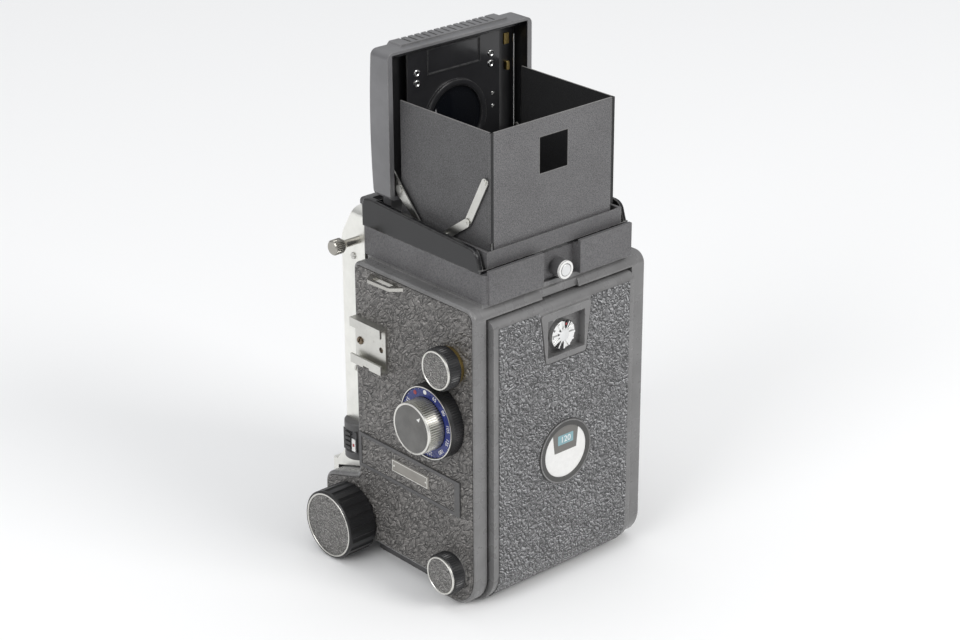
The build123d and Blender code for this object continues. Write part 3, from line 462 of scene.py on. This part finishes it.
# the CAD nodes, by the finish that they wear
FINISH = {
    "cheek": ["finder_cheeks"],
    "gloss": ["body_casting", "back_door", "viewing_barrel", "taking_barrel"],
    "satin": ["base_plate", "lens_board", "wind_crank", "standard_top_cover", "release_button"],
    "lid": ["hood_lid"],
    "bezel": ["window_bezel"],
    "side": ["side_housing", "side_strip"],
    "fine_crackle": ["finder_base", "hood_frame"],
    "crackle_left": ["hood_side_left"],
    "crackle_right": ["hood_side_right"],
    "crackle_rear": ["hood_rear"],
    "knob": ["selector_base", "upper_spool_knob", "lower_spool_knob", "focus_knob_left", "focus_knob_right"],
    "leather": ["left_leather", "right_leather"],
    "door_leather": ["door_leather"],
    "bellows": ["bellows"],
    "inner": ["film_gate", "pressure_plate"],
    "inner_gloss": ["magnifier_plate"],
    "cream": ["lens_standard"],
    "chrome": ["door_latch", "crank_handle", "cocking_lever", "shutter_release", "lower_spool_ring"],
    "steel": ["lid_stays", "stay_lower_links", "stay_upper_links", "accessory_shoe", "tripod_bush",
              "door_hinge_pin", "focus_shaft", "focus_racks", "shutter_speed_ring"],
    "machined": ["selector_knob", "lens_lock_knob"],
    "brass": ["upper_spool_ring"],
    "plate": ["name_badge"],
    "plastic": ["supply_spool", "takeup_spool"],
    "white": ["window_disc", "focusing_screen"],
    "glass": ["viewing_glass", "taking_glass"],
    "loupe": ["magnifier_lens"],
    "lug": ["strap_lug_left", "strap_lug_right"],
    "mirror": ["reflex_mirror"],
}


def finish_nodes():
    """Gives the CAD nodes their finishes."""
    for finish, nodes in FINISH.items():
        for node in nodes:
            for holder in NODES[node].material_slots:
                holder.material = M[finish]


# ---- pieces
LEFT = ((0, 1, 0), (0, 0, 1), (1, 0, 0))
RIGHT = ((0, -1, 0), (0, 0, 1), (-1, 0, 0))
BACK = ((-1, 0, 0), (0, 0, 1), (0, 1, 0))
FRONT = ((1, 0, 0), (0, 0, 1), (0, -1, 0))
TOP = ((-1, 0, 0), (0, -1, 0), (0, 0, 1))


def polar(radius, degrees, u=0.0, v=0.0):
    """The point at that distance and angle from u, v."""
    a = math.radians(degrees)
    return u + radius * math.cos(a), v + radius * math.sin(a)


def pivot(joint):
    """Where a joint's axis is, in millimetres."""
    found = next(j for j in frame["record"]["behaviour"]["joints"] if j["name"] == joint)
    return Vector(found["pos_m"]) / MM


class Piece:
    """A mesh under construction on one side of the camera: u runs across that side, v up it, w out of it."""

    def __init__(self, side):
        self.side = [Vector(axis) for axis in side]
        self.bm = bmesh.new()

    def vert(self, u, v, w):
        """A new vertex, at a place in millimetres."""
        across, up, out = self.side
        return self.bm.verts.new((across * u + up * v + out * w) * MM)

    def strip(self, first, second):
        """Faces between two closed loops of vertices."""
        for i in range(len(first)):
            k = (i + 1) % len(first)
            self.bm.faces.new((first[i], first[k], second[k], second[i]))

    def lathe(self, u, v, profile, steps=72):
        """Turns a closed profile of (radius, w) round the axis that runs out of the side at u, v."""
        rings = []
        for i in range(steps):
            rings.append([self.vert(*polar(r, 360 * i / steps, u, v), w) for r, w in profile])
        for i in range(steps):
            self.strip(rings[i], rings[(i + 1) % steps])

    def slab(self, outline, w0, w1, edge=0.0):
        """A plate with that outline of (u, v), with its outer rim chamfered by edge."""
        mid_u = sum(p[0] for p in outline) / len(outline)
        mid_v = sum(p[1] for p in outline) / len(outline)
        loops = [[self.vert(p[0], p[1], w) for p in outline] for w in (w0, w1 - edge)]
        if edge:
            inner = []
            for u, v in outline:
                away = math.dist((u, v), (mid_u, mid_v)) or 1
                k = 1 - edge / away
                inner.append(self.vert(mid_u + (u - mid_u) * k, mid_v + (v - mid_v) * k, w1))
            loops.append(inner)
        for a, b in zip(loops, loops[1:]):
            self.strip(a, b)
        self.bm.faces.new(loops[0])
        self.bm.faces.new(loops[-1])

    def sector(self, u, v, corners, w0, w1):
        """A plate whose corners are given as (radius, angle) round u, v."""
        self.slab([polar(radius, angle, u, v) for radius, angle in corners], w0, w1)

    def tick(self, u, v, angle, r0, r1, half, w0, w1):
        """A straight mark, twice half wide, that points away from u, v."""
        du, dv = half * math.sin(math.radians(angle)), -half * math.cos(math.radians(angle))
        (u0, v0), (u1, v1) = polar(r0, angle, u, v), polar(r1, angle, u, v)
        outline = [(u0 - du, v0 - dv), (u0 + du, v0 + dv), (u1 + du, v1 + dv), (u1 - du, v1 - dv)]
        self.slab(outline, w0, w1)

    def bar(self, u0, u1, v0, v1, w0, w1, corner=0.0, edge=0.0):
        """A rectangular plate with rounded corners and a chamfered rim."""
        outline = []
        for cu, cv, start in ((u1, v1, 0), (u0, v1, 90), (u0, v0, 180), (u1, v0, 270)):
            if not corner:
                outline.append((cu, cv))
                continue
            cu += corner if cu == u0 else -corner
            cv += corner if cv == v0 else -corner
            outline += [polar(corner, start + 90 * k / 5, cu, cv) for k in range(6)]
        self.slab(outline, w0, w1, edge)

    def hollow(self, u0, u1, v0, v1, width, w0, w1):
        """A thin rectangular frame."""
        self.bar(u0, u1, v0, v0 + width, w0, w1)
        self.bar(u0, u1, v1 - width, v1, w0, w1)
        self.bar(u0, u0 + width, v0 + width, v1 - width, w0, w1)
        self.bar(u1 - width, u1, v0 + width, v1 - width, w0, w1)

    def knurl(self, u, v, root, tip, teeth, w0, w1, edge=0.25):
        """A band of fine ridges round a knob."""
        outline = []
        for i in range(teeth):
            for r, part in ((root, 0.0), (tip, 0.3), (tip, 0.6), (root, 0.9)):
                outline.append(polar(r, 360 * (i + part) / teeth, u, v))
        self.slab(outline, w0, w1, edge)

    def screw(self, u, v, w, r, turn=30.0):
        """Slotted cheese head on a thin seat."""
        self.lathe(u, v, [(0, w), (r * 1.08, w), (r * 1.08, w + 0.06 * r), (0, w + 0.08 * r)], 32)
        for side in (0, 180):
            arc = [polar(r, turn + side + 10 + 160 * k / 14, u, v) for k in range(15)]
            self.slab(arc, w, w + 0.45 * r, 0.14 * r)

    def text(self, label, u, v, w, size, turn=0.0):
        """Raised figures, filled with enamel, centred on u, v."""
        curve = bpy.data.curves.new("figures", "FONT")
        curve.body, curve.size, curve.extrude = label, size, FIGURE_DEPTH / 2
        curve.align_x, curve.align_y = "CENTER", "CENTER"
        holder = bpy.data.objects.new("figures", curve)
        mesh = bpy.data.meshes.new_from_object(holder)
        cos, sin = math.cos(math.radians(turn)), math.sin(math.radians(turn))
        known = {}
        for p in mesh.vertices:
            x, y, h = p.co
            place = (u + x * cos - y * sin, v + x * sin + y * cos, w + FIGURE_DEPTH / 2 + h)
            known[p.index] = self.vert(*place)
        for f in mesh.polygons:
            corners = [known[i] for i in f.vertices]
            if len(set(corners)) > 2 and not self.bm.faces.get(corners):
                self.bm.faces.new(corners)
        bpy.data.meshes.remove(mesh)
        bpy.data.objects.remove(holder)
        bpy.data.curves.remove(curve)

    def done(self, name, finish, body, slot, smooth=35.0):
        """Turns the mesh into an object with that finish, riding on that body."""
        bmesh.ops.remove_doubles(self.bm, verts=self.bm.verts, dist=1e-7)
        bmesh.ops.dissolve_degenerate(self.bm, edges=self.bm.edges, dist=1e-7)
        bmesh.ops.recalc_face_normals(self.bm, faces=self.bm.faces)
        mesh = bpy.data.meshes.new(name)
        self.bm.to_mesh(mesh)
        self.bm.free()
        mesh.shade_smooth()
        mesh.set_sharp_from_angle(angle=math.radians(smooth))
        mesh.materials.append(M[finish])
        piece = bpy.data.objects.new(name, mesh)
        bpy.context.scene.collection.objects.link(piece)
        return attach(piece, body) if body else piece


def turned(name, side, u, v, profile, look, steps=72):
    """A piece that is one turned ring or disc. look is its finish, its body and its slot, and the slot is
    not used.
    """
    piece = Piece(side)
    piece.lathe(u, v, profile, steps)
    piece.done(name, *look)


DIAL_FIGURES = (("55", 151), ("65", 68), ("80", 38), ("105", 8), ("135", -19), ("180", -49), ("250", -84))
SPEEDS = ("1", "2", "4", "8", "15", "30", "60", "125", "250", "500")
STOPS = ("2.8", "4", "5.6", "8", "11", "16", "22")
FIGURE_DEPTH = 0.05
REAR_SHEET_Y = 39.6                         # mid-plane of the hood's rear panel
SIDE_SHEET_X = 34.2                         # mid-plane of its side panels, each way
HALF_SHEET = 0.28                           # half of a panel's thickness, less a hair
SPORTS_WINDOW = (-8.1, 8.1, 189.3, 205.6)   # sides, foot and head of the opening in the rear panel
LID_FLOOR_Y = -25.6                         # bottom of the lid's hollow
HOUSING_FACE_X = 44.6                       # floor of the distance scale's window in the side housing


def dial():
    """Left side dial: blue band with filled figures, a bright rim, and the knob's cap with its pointer."""
    _, y, z = pivot("selector_turn")
    face = box("selector_base")[1].x - 0.7
    band = face + 0.2
    turned("dial_band", LEFT, y, z, [
        (11.7, face), (15.55, face), (15.55, face + 0.14), (15.4, band), (11.7, band),
    ], ("blue", "body", "grey_enamel"))
    turned("dial_rim", LEFT, y, z, [
        (15.7, face - 0.1), (15.7, face + 0.6), (15.85, face + 0.75), (16.2, face + 0.75),
        (16.4, face + 0.5), (16.4, face - 0.5), (15.9, face - 0.5),
    ], ("dull_ring", "body", "bright_chrome"), 96)
    foot = Piece(LEFT)
    foot.knurl(y, z, 16.15, 16.45, 90, face - 6.2, face - 0.5)
    foot.done("dial_foot", "knob", "body", "gloss_black_paint")
    figures = Piece(LEFT)
    for label, angle in DIAL_FIGURES:
        figures.text(label, *polar(13.6, angle, y, z), band, 2.5, angle - 90)
    for angle in range(0, 360, 10):
        figures.tick(y, z, angle, 15.0, 15.4, 0.06, band, band + 0.04)
    figures.done("dial_figures", "white", "body", "white_enamel")
    turned("dial_patch", LEFT, *polar(13.9, 94, y, z), [
        (0, band), (1.05, band), (1.0, band + 0.1), (0, band + 0.14),
    ], ("white", "body", "white_enamel"), 24)
    turned("dial_mark", LEFT, *polar(13.8, 122, y, z), [
        (0, band), (1.0, band), (0.95, band + 0.1), (0, band + 0.14),
    ], ("red", "body", "grey_enamel"), 24)
    low, high = box("selector_knob")
    top, radius = high.x, (high.z - low.z) / 2
    skirt = Piece(LEFT)
    ribs, root, tip = 64, radius - 0.25, radius + 0.2
    for i in range(ribs):
        a = 360 * i / ribs
        rib = [(root, a - 1.7), (tip, a - 1.0), (tip, a + 1.0), (root, a + 1.7)]
        skirt.sector(y, z, rib, face + 0.5, top - 0.9)
    skirt.done("dial_skirt", "pale_ring", "selector", "satin_steel")
    turned("dial_cap_ring", LEFT, y, z, [
        (radius - 1.0, top - 0.4), (radius + 0.05, top - 0.9), (radius + 0.05, top),
        (radius - 0.1, top + 0.2), (radius - 0.55, top + 0.3), (radius - 1.0, top + 0.05),
    ], ("dull_ring", "selector", "satin_steel"), 96)
    turned("dial_cap", LEFT, y, z, [
        (0, top), (radius - 0.8, top), (radius - 0.8, top + 0.1), (radius - 1.0, top + 0.2), (0, top + 0.2),
    ], ("cap", "selector", "satin_steel"), 96)
    pointer = Piece(LEFT)
    pointer.slab([(y + 6.0, z + 7.2), (y + 3.7, z + 5.75), (y + 5.2, z + 5.0)], top + 0.22, top + 0.3)
    pointer.done("dial_pointer", "white", "selector", "white_enamel")


def spool_knobs():
    """Covered faces, pale rings and ridged grips of the two spool knobs."""
    for which in ("upper", "lower"):
        _, y, z = pivot(f"{which}_spool_knob_turn")
        top = box(f"{which}_spool_knob")[1].x
        body = f"{which}_spool_turn"
        turned(f"{which}_knob_pad", LEFT, y, z, [
            (0, top), (7.75, top), (7.75, top + 0.12), (7.5, top + 0.3), (0, top + 0.36),
        ], ("knob_leather", body, "grained_leather"))
        turned(f"{which}_knob_ring", LEFT, y, z, [
            (7.8, top - 0.5), (8.55, top - 0.5), (8.55, top + 0.1), (8.4, top + 0.3), (7.95, top + 0.3),
            (7.8, top + 0.15),
        ], ("dull_ring", body, "satin_steel"))
        grip = Piece(LEFT)
        grip.knurl(y, z, 8.95, 9.32, 48, top - 5.4, top - 0.75)
        grip.done(f"{which}_knob_grip", "knob", body, "black_plastic")


def focus_knobs():
    """Covered faces of the two focusing knobs, each inside a pale ring."""
    _, y, z = pivot("focus_knob_turn")
    top = box("focus_knob_left")[1].x
    for name, side, u in (("left", LEFT, y), ("right", RIGHT, -y)):
        turned(f"focus_pad_{name}", side, u, z, [
            (0, top - 0.6), (14.1, top - 0.6), (14.1, top - 0.35), (13.8, top - 0.2), (0, top - 0.12),
        ], ("knob_leather", "focus_drive", "grained_leather"))
        turned(f"focus_ring_{name}", side, u, z, [
            (14.2, top - 0.6), (15.0, top - 0.6), (15.0, top - 0.15), (14.85, top), (14.35, top),
            (14.2, top - 0.12),
        ], ("dull_ring", "focus_drive", "satin_chrome"), 96)


def shoe_badge_strip():
    """Screws of the accessory shoe, the name badge's rim and pins, and the cover of the side strip."""
    low, high = box("accessory_shoe")
    floor = low.x + 1.1
    z = (low.z + high.z) / 2 - 0.4
    screws = Piece(LEFT)
    screws.screw(low.y + 3.4, z, floor, 1.7, 62)
    screws.screw(low.y + 17.4, z, floor - 1.2, 1.1, 20)
    screws.done("shoe_screws", "rust", "body", "satin_steel")
    low, high = box("name_badge")
    rim = Piece(LEFT)
    inset, pins = 0.45, 1.6
    rim.hollow(low.y + inset, high.y - inset, low.z + inset, high.z - inset, 0.35, high.x - 0.02,
               high.x + 0.14)
    for y in (low.y + pins, high.y - pins):
        head = [(0, high.x), (0.5, high.x), (0.42, high.x + 0.16), (0, high.x + 0.2)]
        rim.lathe(y, (low.z + high.z) / 2, head, 20)
    rim.done("badge_rim", "dull_ring", "body", "silver_plate")
    low, high = box("side_strip")
    fill = Piece(LEFT)
    fill.bar(low.y + 1.7, high.y - 3.3, low.z + 1.7, high.z - 1.7, high.x - 0.55, high.x - 0.3,
             corner=0.6, edge=0.1)
    fill.done("strip_cover", "leather", "body", "grained_leather")


def latch():
    """The door's latch disc with its dark rays, and the curved arrow above it."""
    x, _, z = pivot("latch_turn")
    face = box("back_door")[1].y
    arrow = Piece(BACK)
    inner, outer, step = 12.15, 12.55, 3
    for a in range(76, 106, step):
        stretch = [(inner, a), (outer, a), (outer, a + step), (inner, a + step)]
        arrow.sector(-x, z, stretch, face, face + 0.06)
    arrow.sector(-x, z, [(11.7, 76), (13.0, 76), (12.35, 70)], face, face + 0.06)
    arrow.done("latch_arrow", "pale_mark", "door", "white_enamel")
    top = box("door_latch")[1].y
    rays = Piece(BACK)
    for a, wide, reach in ((86, 7, 6.7), (70, 9, 6.9), (55, 6, 6.7),
                           (262, 7, 6.6), (247, 9, 6.9), (231, 6, 6.6)):
        near, far = wide / 4, wide / 2
        corners = [(3.1, a - near), (reach, a - far), (reach, a + far), (3.1, a + near)]
        rays.sector(-x, z, corners, top - 0.35, top + 0.08)
    rays.done("latch_rays", "inner_gloss", "latch", "bright_chrome")
    turned("latch_spot", BACK, *polar(5.0, 79, -x, z), [
        (0, top), (0.55, top), (0.5, top + 0.12), (0, top + 0.14),
    ], ("red", "latch", "bright_chrome"), 20)
    turned("latch_hub", BACK, -x, z, [
        (0, top - 0.3), (2.7, top - 0.3), (2.7, top), (2.4, top + 0.12), (0, top + 0.16),
    ], ("button", "latch", "bright_chrome"), 40)


def door_window():
    """The film window in the door: its shutter, the pane that shows a film size, and the lip round it."""
    low, high = box("window_disc")
    z = (low.z + high.z) / 2
    reach = (high.z - low.z) / 2
    cover = high.y + 0.14
    pane_face = cover + 0.03
    shutter = Piece(BACK)
    crown = [polar(reach, a, 0, z) for a in range(52, 129, 4)]
    shutter.slab([(-6.3, z + 0.3), (6.3, z + 0.3)] + crown, high.y, cover)
    shutter.done("window_shutter", "grey", "door", "grey_enamel")
    pane = Piece(BACK)
    pane.bar(-4.5, 4.5, z + 3.7, z + 8.2, cover, pane_face, 0.3)
    pane.done("window_pane", "teal", "door", "black_plastic")
    figures = Piece(BACK)
    figures.text("120", 0.0, z + 5.9, pane_face, 4.0)
    figures.done("window_figures", "white", "door", "white_enamel")
    outer, face = box("window_bezel")[1].z - z, box("window_bezel")[1].y
    turned("window_lip", BACK, 0, z, [
        (outer - 0.75, face - 0.3), (outer - 0.75, face), (outer - 0.6, face + 0.1),
        (outer - 0.3, face + 0.1), (outer, face - 0.15), (outer, face - 0.3),
    ], ("gloss", "door", "gloss_black_paint"), 96)


def finder_button():
    """The pale ring and the cap of the button that frees the finder."""
    low, high = box("release_button")
    z, face = (low.z + high.z) / 2, high.y
    turned("button_ring", BACK, 0, z, [
        (2.85, face - 0.6), (2.85, face), (3.0, face + 0.12), (3.85, face + 0.12), (4.12, face - 0.12),
        (4.12, face - 0.9),
    ], ("white", "finder_button", "bright_chrome"))
    turned("button_cap", BACK, 0, z, [
        (0, face - 0.2), (2.6, face - 0.2), (2.6, face), (2.45, face + 0.14), (1.2, face + 0.1),
        (0, face + 0.08),
    ], ("button", "finder_button", "bright_chrome"))


def hood_edges():
    """Worn edges of the hood's panels, the flanges of its rear panel, and the screen's lines."""
    low, high = box("hood_rear")
    rear = Piece(TOP)
    rear.bar(low.x + 0.1, high.x - 0.1, -REAR_SHEET_Y - HALF_SHEET, -REAR_SHEET_Y + HALF_SHEET, high.z,
             high.z + 0.05)
    rear.done("rear_edge", "worn_edge", "hood_back", "crackle_black_paint")
    window = Piece(BACK)
    window.hollow(*SPORTS_WINDOW, 0.22, REAR_SHEET_Y + HALF_SHEET, REAR_SHEET_Y + HALF_SHEET + 0.06)
    window.done("sports_window_edge", "worn_edge", "hood_back", "crackle_black_paint")
    back, flange_foot = REAR_SHEET_Y + 0.3, 166.0
    for name, side, sign in (("left", LEFT, 1), ("right", RIGHT, -1)):
        top = box(f"hood_side_{name}")[1].z
        x = sign * SIDE_SHEET_X
        edge = Piece(TOP)
        edge.bar(-x - HALF_SHEET, -x + HALF_SHEET, -38.8, 16.4, top, top + 0.05)
        edge.done(f"side_edge_{name}", "worn_edge", f"hood_{name}", "crackle_black_paint")
        flange = Piece(side)
        for deep, w0, w1 in ((1.5, 34.56, 34.8), (0.55, 33.2, 34.6)):
            u0, u1 = sorted((sign * (back - deep), sign * back))
            flange.bar(u0, u1, flange_foot, top - 0.1, w0, w1)
        flange.done(f"rear_flange_{name}", f"crackle_{name}", "hood_back", "crackle_black_paint")
    top = box("focusing_screen")[1].z
    grid = Piece(TOP)
    spacing, mid_v, half = 11.0, -8.5, 0.08
    for i in range(-2, 3):
        u, v = spacing * i, mid_v + spacing * i
        grid.bar(u - half, u + half, -36.5, 19.5, top, top + 0.03)
        grid.bar(-30.5, 30.5, v - half, v + half, top, top + 0.03)
    grid.done("screen_grid", "grey", "body", "grey_enamel")


def magnifier_and_lid():
    """Eyelets, rivets and springs on the magnifier plate, and the catches inside the lid."""
    _, y, z = pivot("magnifier_swing")
    face = y + 0.4
    eyes = Piece(BACK)
    eyelet = [(0.75, face), (1.6, face), (1.5, face + 0.35), (1.15, face + 0.5), (0.75, face + 0.3)]
    for u in (-20.8, 20.8):
        for v in (z - 9.8, z - 14.3):
            eyes.lathe(u, v, eyelet, 32)
    eyes.done("magnifier_eyelets", "chrome", "magnifier", "bright_chrome")
    heads = Piece(BACK)
    for u, drop in ((22.0, 28.0), (22.0, 33.7), (-22.0, 28.0), (-22.0, 33.7), (23.5, 50), (-23.5, 50)):
        heads.screw(u, z - drop, face, 0.8, 40)
    heads.done("magnifier_screws", "chrome", "magnifier", "bright_chrome")
    low, high = box("magnifier_lens")
    turned("magnifier_rim", BACK, 0, (low.z + high.z) / 2, [
        (14.9, y + 1.6), (17.2, y + 1.6), (17.2, y + 1.75), (16.6, y + 1.9), (15.2, y + 1.9),
        (14.9, y + 1.75),
    ], ("inner_gloss", "magnifier", "gloss_black_paint"), 96)
    frame_lines = Piece(BACK)
    frame_lines.hollow(-15.0, 15.0, z - 12.2, z - 0.9, 0.5, face, face + 0.25)
    frame_lines.done("magnifier_frame", "inner_gloss", "magnifier", "gloss_black_paint")
    top = box("hood_lid")[1].z
    tabs = Piece(BACK)
    for u in (-33.0, 33.0):
        tabs.bar(u - 1.5, u + 1.5, top - 13.5, top - 8.5, LID_FLOOR_Y, LID_FLOOR_Y + 0.6, 0.4, 0.15)
        tabs.bar(u - 0.9, u + 0.9, top - 25.0, top - 21.0, LID_FLOOR_Y, LID_FLOOR_Y + 1.6, 0.4, 0.2)
    tabs.done("lid_tabs", "brass", "finder", "brass")
    wires = Piece(TOP)
    foot, head, thick = 171.8, 226.0, 0.35
    for u in (35.6, -35.6):
        wires.lathe(u, 23.4, [(0, foot), (thick, foot), (thick, head), (0, head)], 12)
    wires.done("lid_wires", "chrome", "finder", "bright_chrome")


def standard_details():
    """On the lens standard: the lock's grip, screws, the distance scale and the flash socket."""
    _, y, z = pivot("lens_lock_turn")
    tip = box("lens_lock_knob")[1].x
    grip = Piece(LEFT)
    grip.knurl(y, z, 3.15, 3.42, 24, tip - 4.7, tip - 0.4)
    grip.done("lens_lock_grip", "machined", "lens_lock", "satin_steel")
    face = box("lens_standard")[1].x
    heads = Piece(LEFT)
    heads.screw(y - 3.6, z - 8.5, face, 1.5, 25)
    heads.screw(y - 3.0, z - 62.0, face, 1.5, 70)
    heads.done("standard_screws", "steel", "front", "satin_steel")
    floor = HOUSING_FACE_X
    blades = Piece(LEFT)
    blades.bar(-48.2, -38.9, 43.7, 54.3, floor, floor + 0.1)
    for i in range(4):
        foot = 44.9 + 2.3 * i
        blades.bar(-46.4, -42.6, foot, foot + 1.4, floor + 0.1, floor + 0.9, 0.0, 0.2)
    blades.done("scale_blades", "inner_gloss", "front", "black_plastic")
    scale = Piece(LEFT)
    scale.bar(-42.0, -39.6, 44.6, 50.6, floor + 0.1, floor + 0.5)
    scale.done("scale_plate", "white", "front", "white_enamel")
    red = Piece(LEFT)
    red.bar(-41.4, -40.2, 47.0, 48.4, floor + 0.5, floor + 0.6)
    red.done("scale_red_mark", "red", "front", "grey_enamel")
    front = -box("lens_board")[0].y
    screws = Piece(FRONT)
    for u in (-30.6, 30.6):
        for v in (49.4, 137.8):
            screws.screw(u, v, front, 1.5, 40 + v)
    screws.done("board_screws", "steel", "front", "satin_steel")
    socket = Piece(FRONT)
    u, v = 27.8, 90.0
    socket.lathe(u, v, [
        (1.2, front), (3.2, front), (3.2, front + 2.4), (2.8, front + 2.8), (1.6, front + 2.8),
        (1.2, front + 2.2),
    ], 40)
    socket.lathe(u, v, [(0, front), (0.5, front), (0.5, front + 2.2), (0, front + 2.4)], 16)
    socket.done("flash_socket", "chrome", "front", "bright_chrome")


def lens_details():
    """Threads and bright rims of the two lenses, with the shutter's and the iris's figures."""
    for name in ("viewing", "taking"):
        low, high = box(f"{name}_barrel")
        z, front, half = (low.z + high.z) / 2, -low.y, (high.z - low.z) / 2
        thread = Piece(FRONT)
        for k in range(6):
            w = front - 0.5 - 0.36 * k
            thread.lathe(0, z, [(15.5, w), (15.2, w - 0.14), (15.5, w - 0.28)])
        thread.done(f"{name}_thread", "inner_gloss", "front", "gloss_black_paint")
        turned(f"{name}_rim", FRONT, 0, z, [
            (15.5, front - 0.3), (15.5, front), (15.65, front + 0.06), (half - 4.75, front + 0.06),
            (half - 4.5, front - 0.2), (half - 4.5, front - 0.5),
        ], ("chrome", "front", "bright_chrome"), 96)
        turned(f"{name}_name_ring", FRONT, 0, z, [
            (13.0, front - 2.5), (15.4, front - 2.5), (15.3, front - 2.0), (13.6, front - 2.35),
        ], ("inner_gloss", "front", "gloss_black_paint"), 96)
    low, high = box("shutter_speed_ring")
    z = (low.z + high.z) / 2
    figures = Piece(FRONT)
    for i, label in enumerate(SPEEDS):
        angle = 150 - 13.0 * i
        figures.text(label, *polar(21.2, angle, 0, z), -low.y, 2.1, angle - 90)
    figures.done("speed_figures", "inner_gloss", "speed_ring", "black_plastic")
    stops = Piece(FRONT)
    for i, label in enumerate(STOPS):
        angle = -45 - 15.0 * i
        stops.text(label, *polar(17.3, angle, 0, z), -box("taking_barrel")[0].y, 1.5, angle + 90)
    stops.done("stop_figures", "inner_gloss", "front", "black_plastic")


def right_side():
    """Round the winding crank and the frame counter on the right side."""
    _, y, z = pivot("wind_crank_turn")
    seat = -box("right_leather")[0].x
    turned("crank_collar", RIGHT, -y, z, [
        (8.7, seat), (10.6, seat), (10.6, seat + 0.5), (10.2, seat + 0.8), (8.7, seat + 0.8),
    ], ("chrome", "body", "bright_chrome"), 96)
    top = -box("wind_crank")[0].x - 4.4
    turned("crank_cap", RIGHT, -y, z, [
        (0, top), (3.6, top), (3.6, top + 0.2), (3.3, top + 0.4), (0, top + 0.45),
    ], ("chrome", "winder", "bright_chrome"), 48)
    counter_z = 124.0
    turned("counter_bezel", RIGHT, 0, counter_z, [
        (4.3, seat), (6.0, seat), (6.0, seat + 0.6), (5.6, seat + 0.9), (4.8, seat + 0.9), (4.3, seat + 0.5),
    ], ("chrome", "body", "bright_chrome"), 64)
    turned("counter_plate", RIGHT, 0, counter_z, [
        (0, seat), (4.35, seat), (4.35, seat + 0.1), (0, seat + 0.12),
    ], ("white", "body", "white_enamel"), 48)
    figure = Piece(RIGHT)
    figure.text("12", 0, counter_z, seat + 0.12, 3.6)
    figure.done("counter_figure", "inner_gloss", "body", "black_plastic")
    screws = Piece(RIGHT)
    for u, v in ((26.0, 60.0), (26.0, 122.0), (-36.0, 60.0)):
        screws.screw(u, v, seat, 1.4, u + v)
    screws.done("right_side_screws", "steel", "body", "satin_steel")


def film_side():
    """Guide rollers beside the picture gate, and the tripod socket's thread."""
    low, high = box("film_gate")
    half_profile = [(0, 31.0), (1.2, 31.0), (1.4, 30.0), (1.4, 28.0), (1.2, 27.6)]
    profile = [(r, -w) for r, w in half_profile] + half_profile[::-1]
    rollers = Piece(LEFT)
    for z in (low.z - 1.0, high.z + 1.0):
        rollers.lathe(high.y - 0.7, z, profile, 28)
    rollers.done("guide_rollers", "chrome", "body", "satin_steel")
    thread = Piece(TOP)
    for k in range(4):
        z = 0.5 + 1.27 * k
        thread.lathe(0, 0, [(3.175, z), (2.75, z + 0.45), (3.175, z + 0.9)], 48)
    thread.done("tripod_thread", "steel", "body", "satin_steel")


def folded_bellows():
    """Leather bellows with rounded pleats, a hollow shell."""
    low, high = box("bellows")
    folds, steps = 6, 4
    half_out, depth, wall = high.x - 0.1, 3.2, 0.45
    mid_z = (low.z + high.z) / 2
    tall = (high.z - low.z) / 2 - half_out
    shell = Piece(((1, 0, 0), (0, 0, 1), (0, 1, 0)))
    skins = []
    count = folds * 2 * steps
    for inset in (0.0, wall):
        loops = []
        for i in range(count + 1):
            y = low.y + (high.y - low.y) * i / count
            wave = 0.5 + 0.5 * math.cos(2 * math.pi * folds * i / count)
            half = half_out - depth * (1 - wave ** 0.8) - inset
            cut = 3.0 + 1.5 * (1 - wave)
            outline = []
            for su, sv in ((1, 1), (-1, 1), (-1, -1), (1, -1)):
                ends = [(half, half + tall - cut), (half - cut, half + tall)]
                if su * sv < 0:
                    ends.reverse()
                outline += [(su * u, mid_z + sv * v) for u, v in ends]
            loops.append([shell.vert(u, v, y) for u, v in outline])
        for a, b in zip(loops, loops[1:]):
            shell.strip(a, b)
        skins.append(loops)
    for end in (0, -1):
        shell.strip(skins[0][end], skins[1][end])
    piece = shell.done("folded_bellows", "bellows", None, "bellows_leather", 50)
    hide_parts("bellows")
    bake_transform(piece)


make_camera()
make_studio()
finish_nodes()
for build in (dial, spool_knobs, focus_knobs, shoe_badge_strip, latch, door_window, finder_button,
              hood_edges, magnifier_and_lid, standard_details, lens_details, right_side, film_side,
              folded_bellows):
    build()
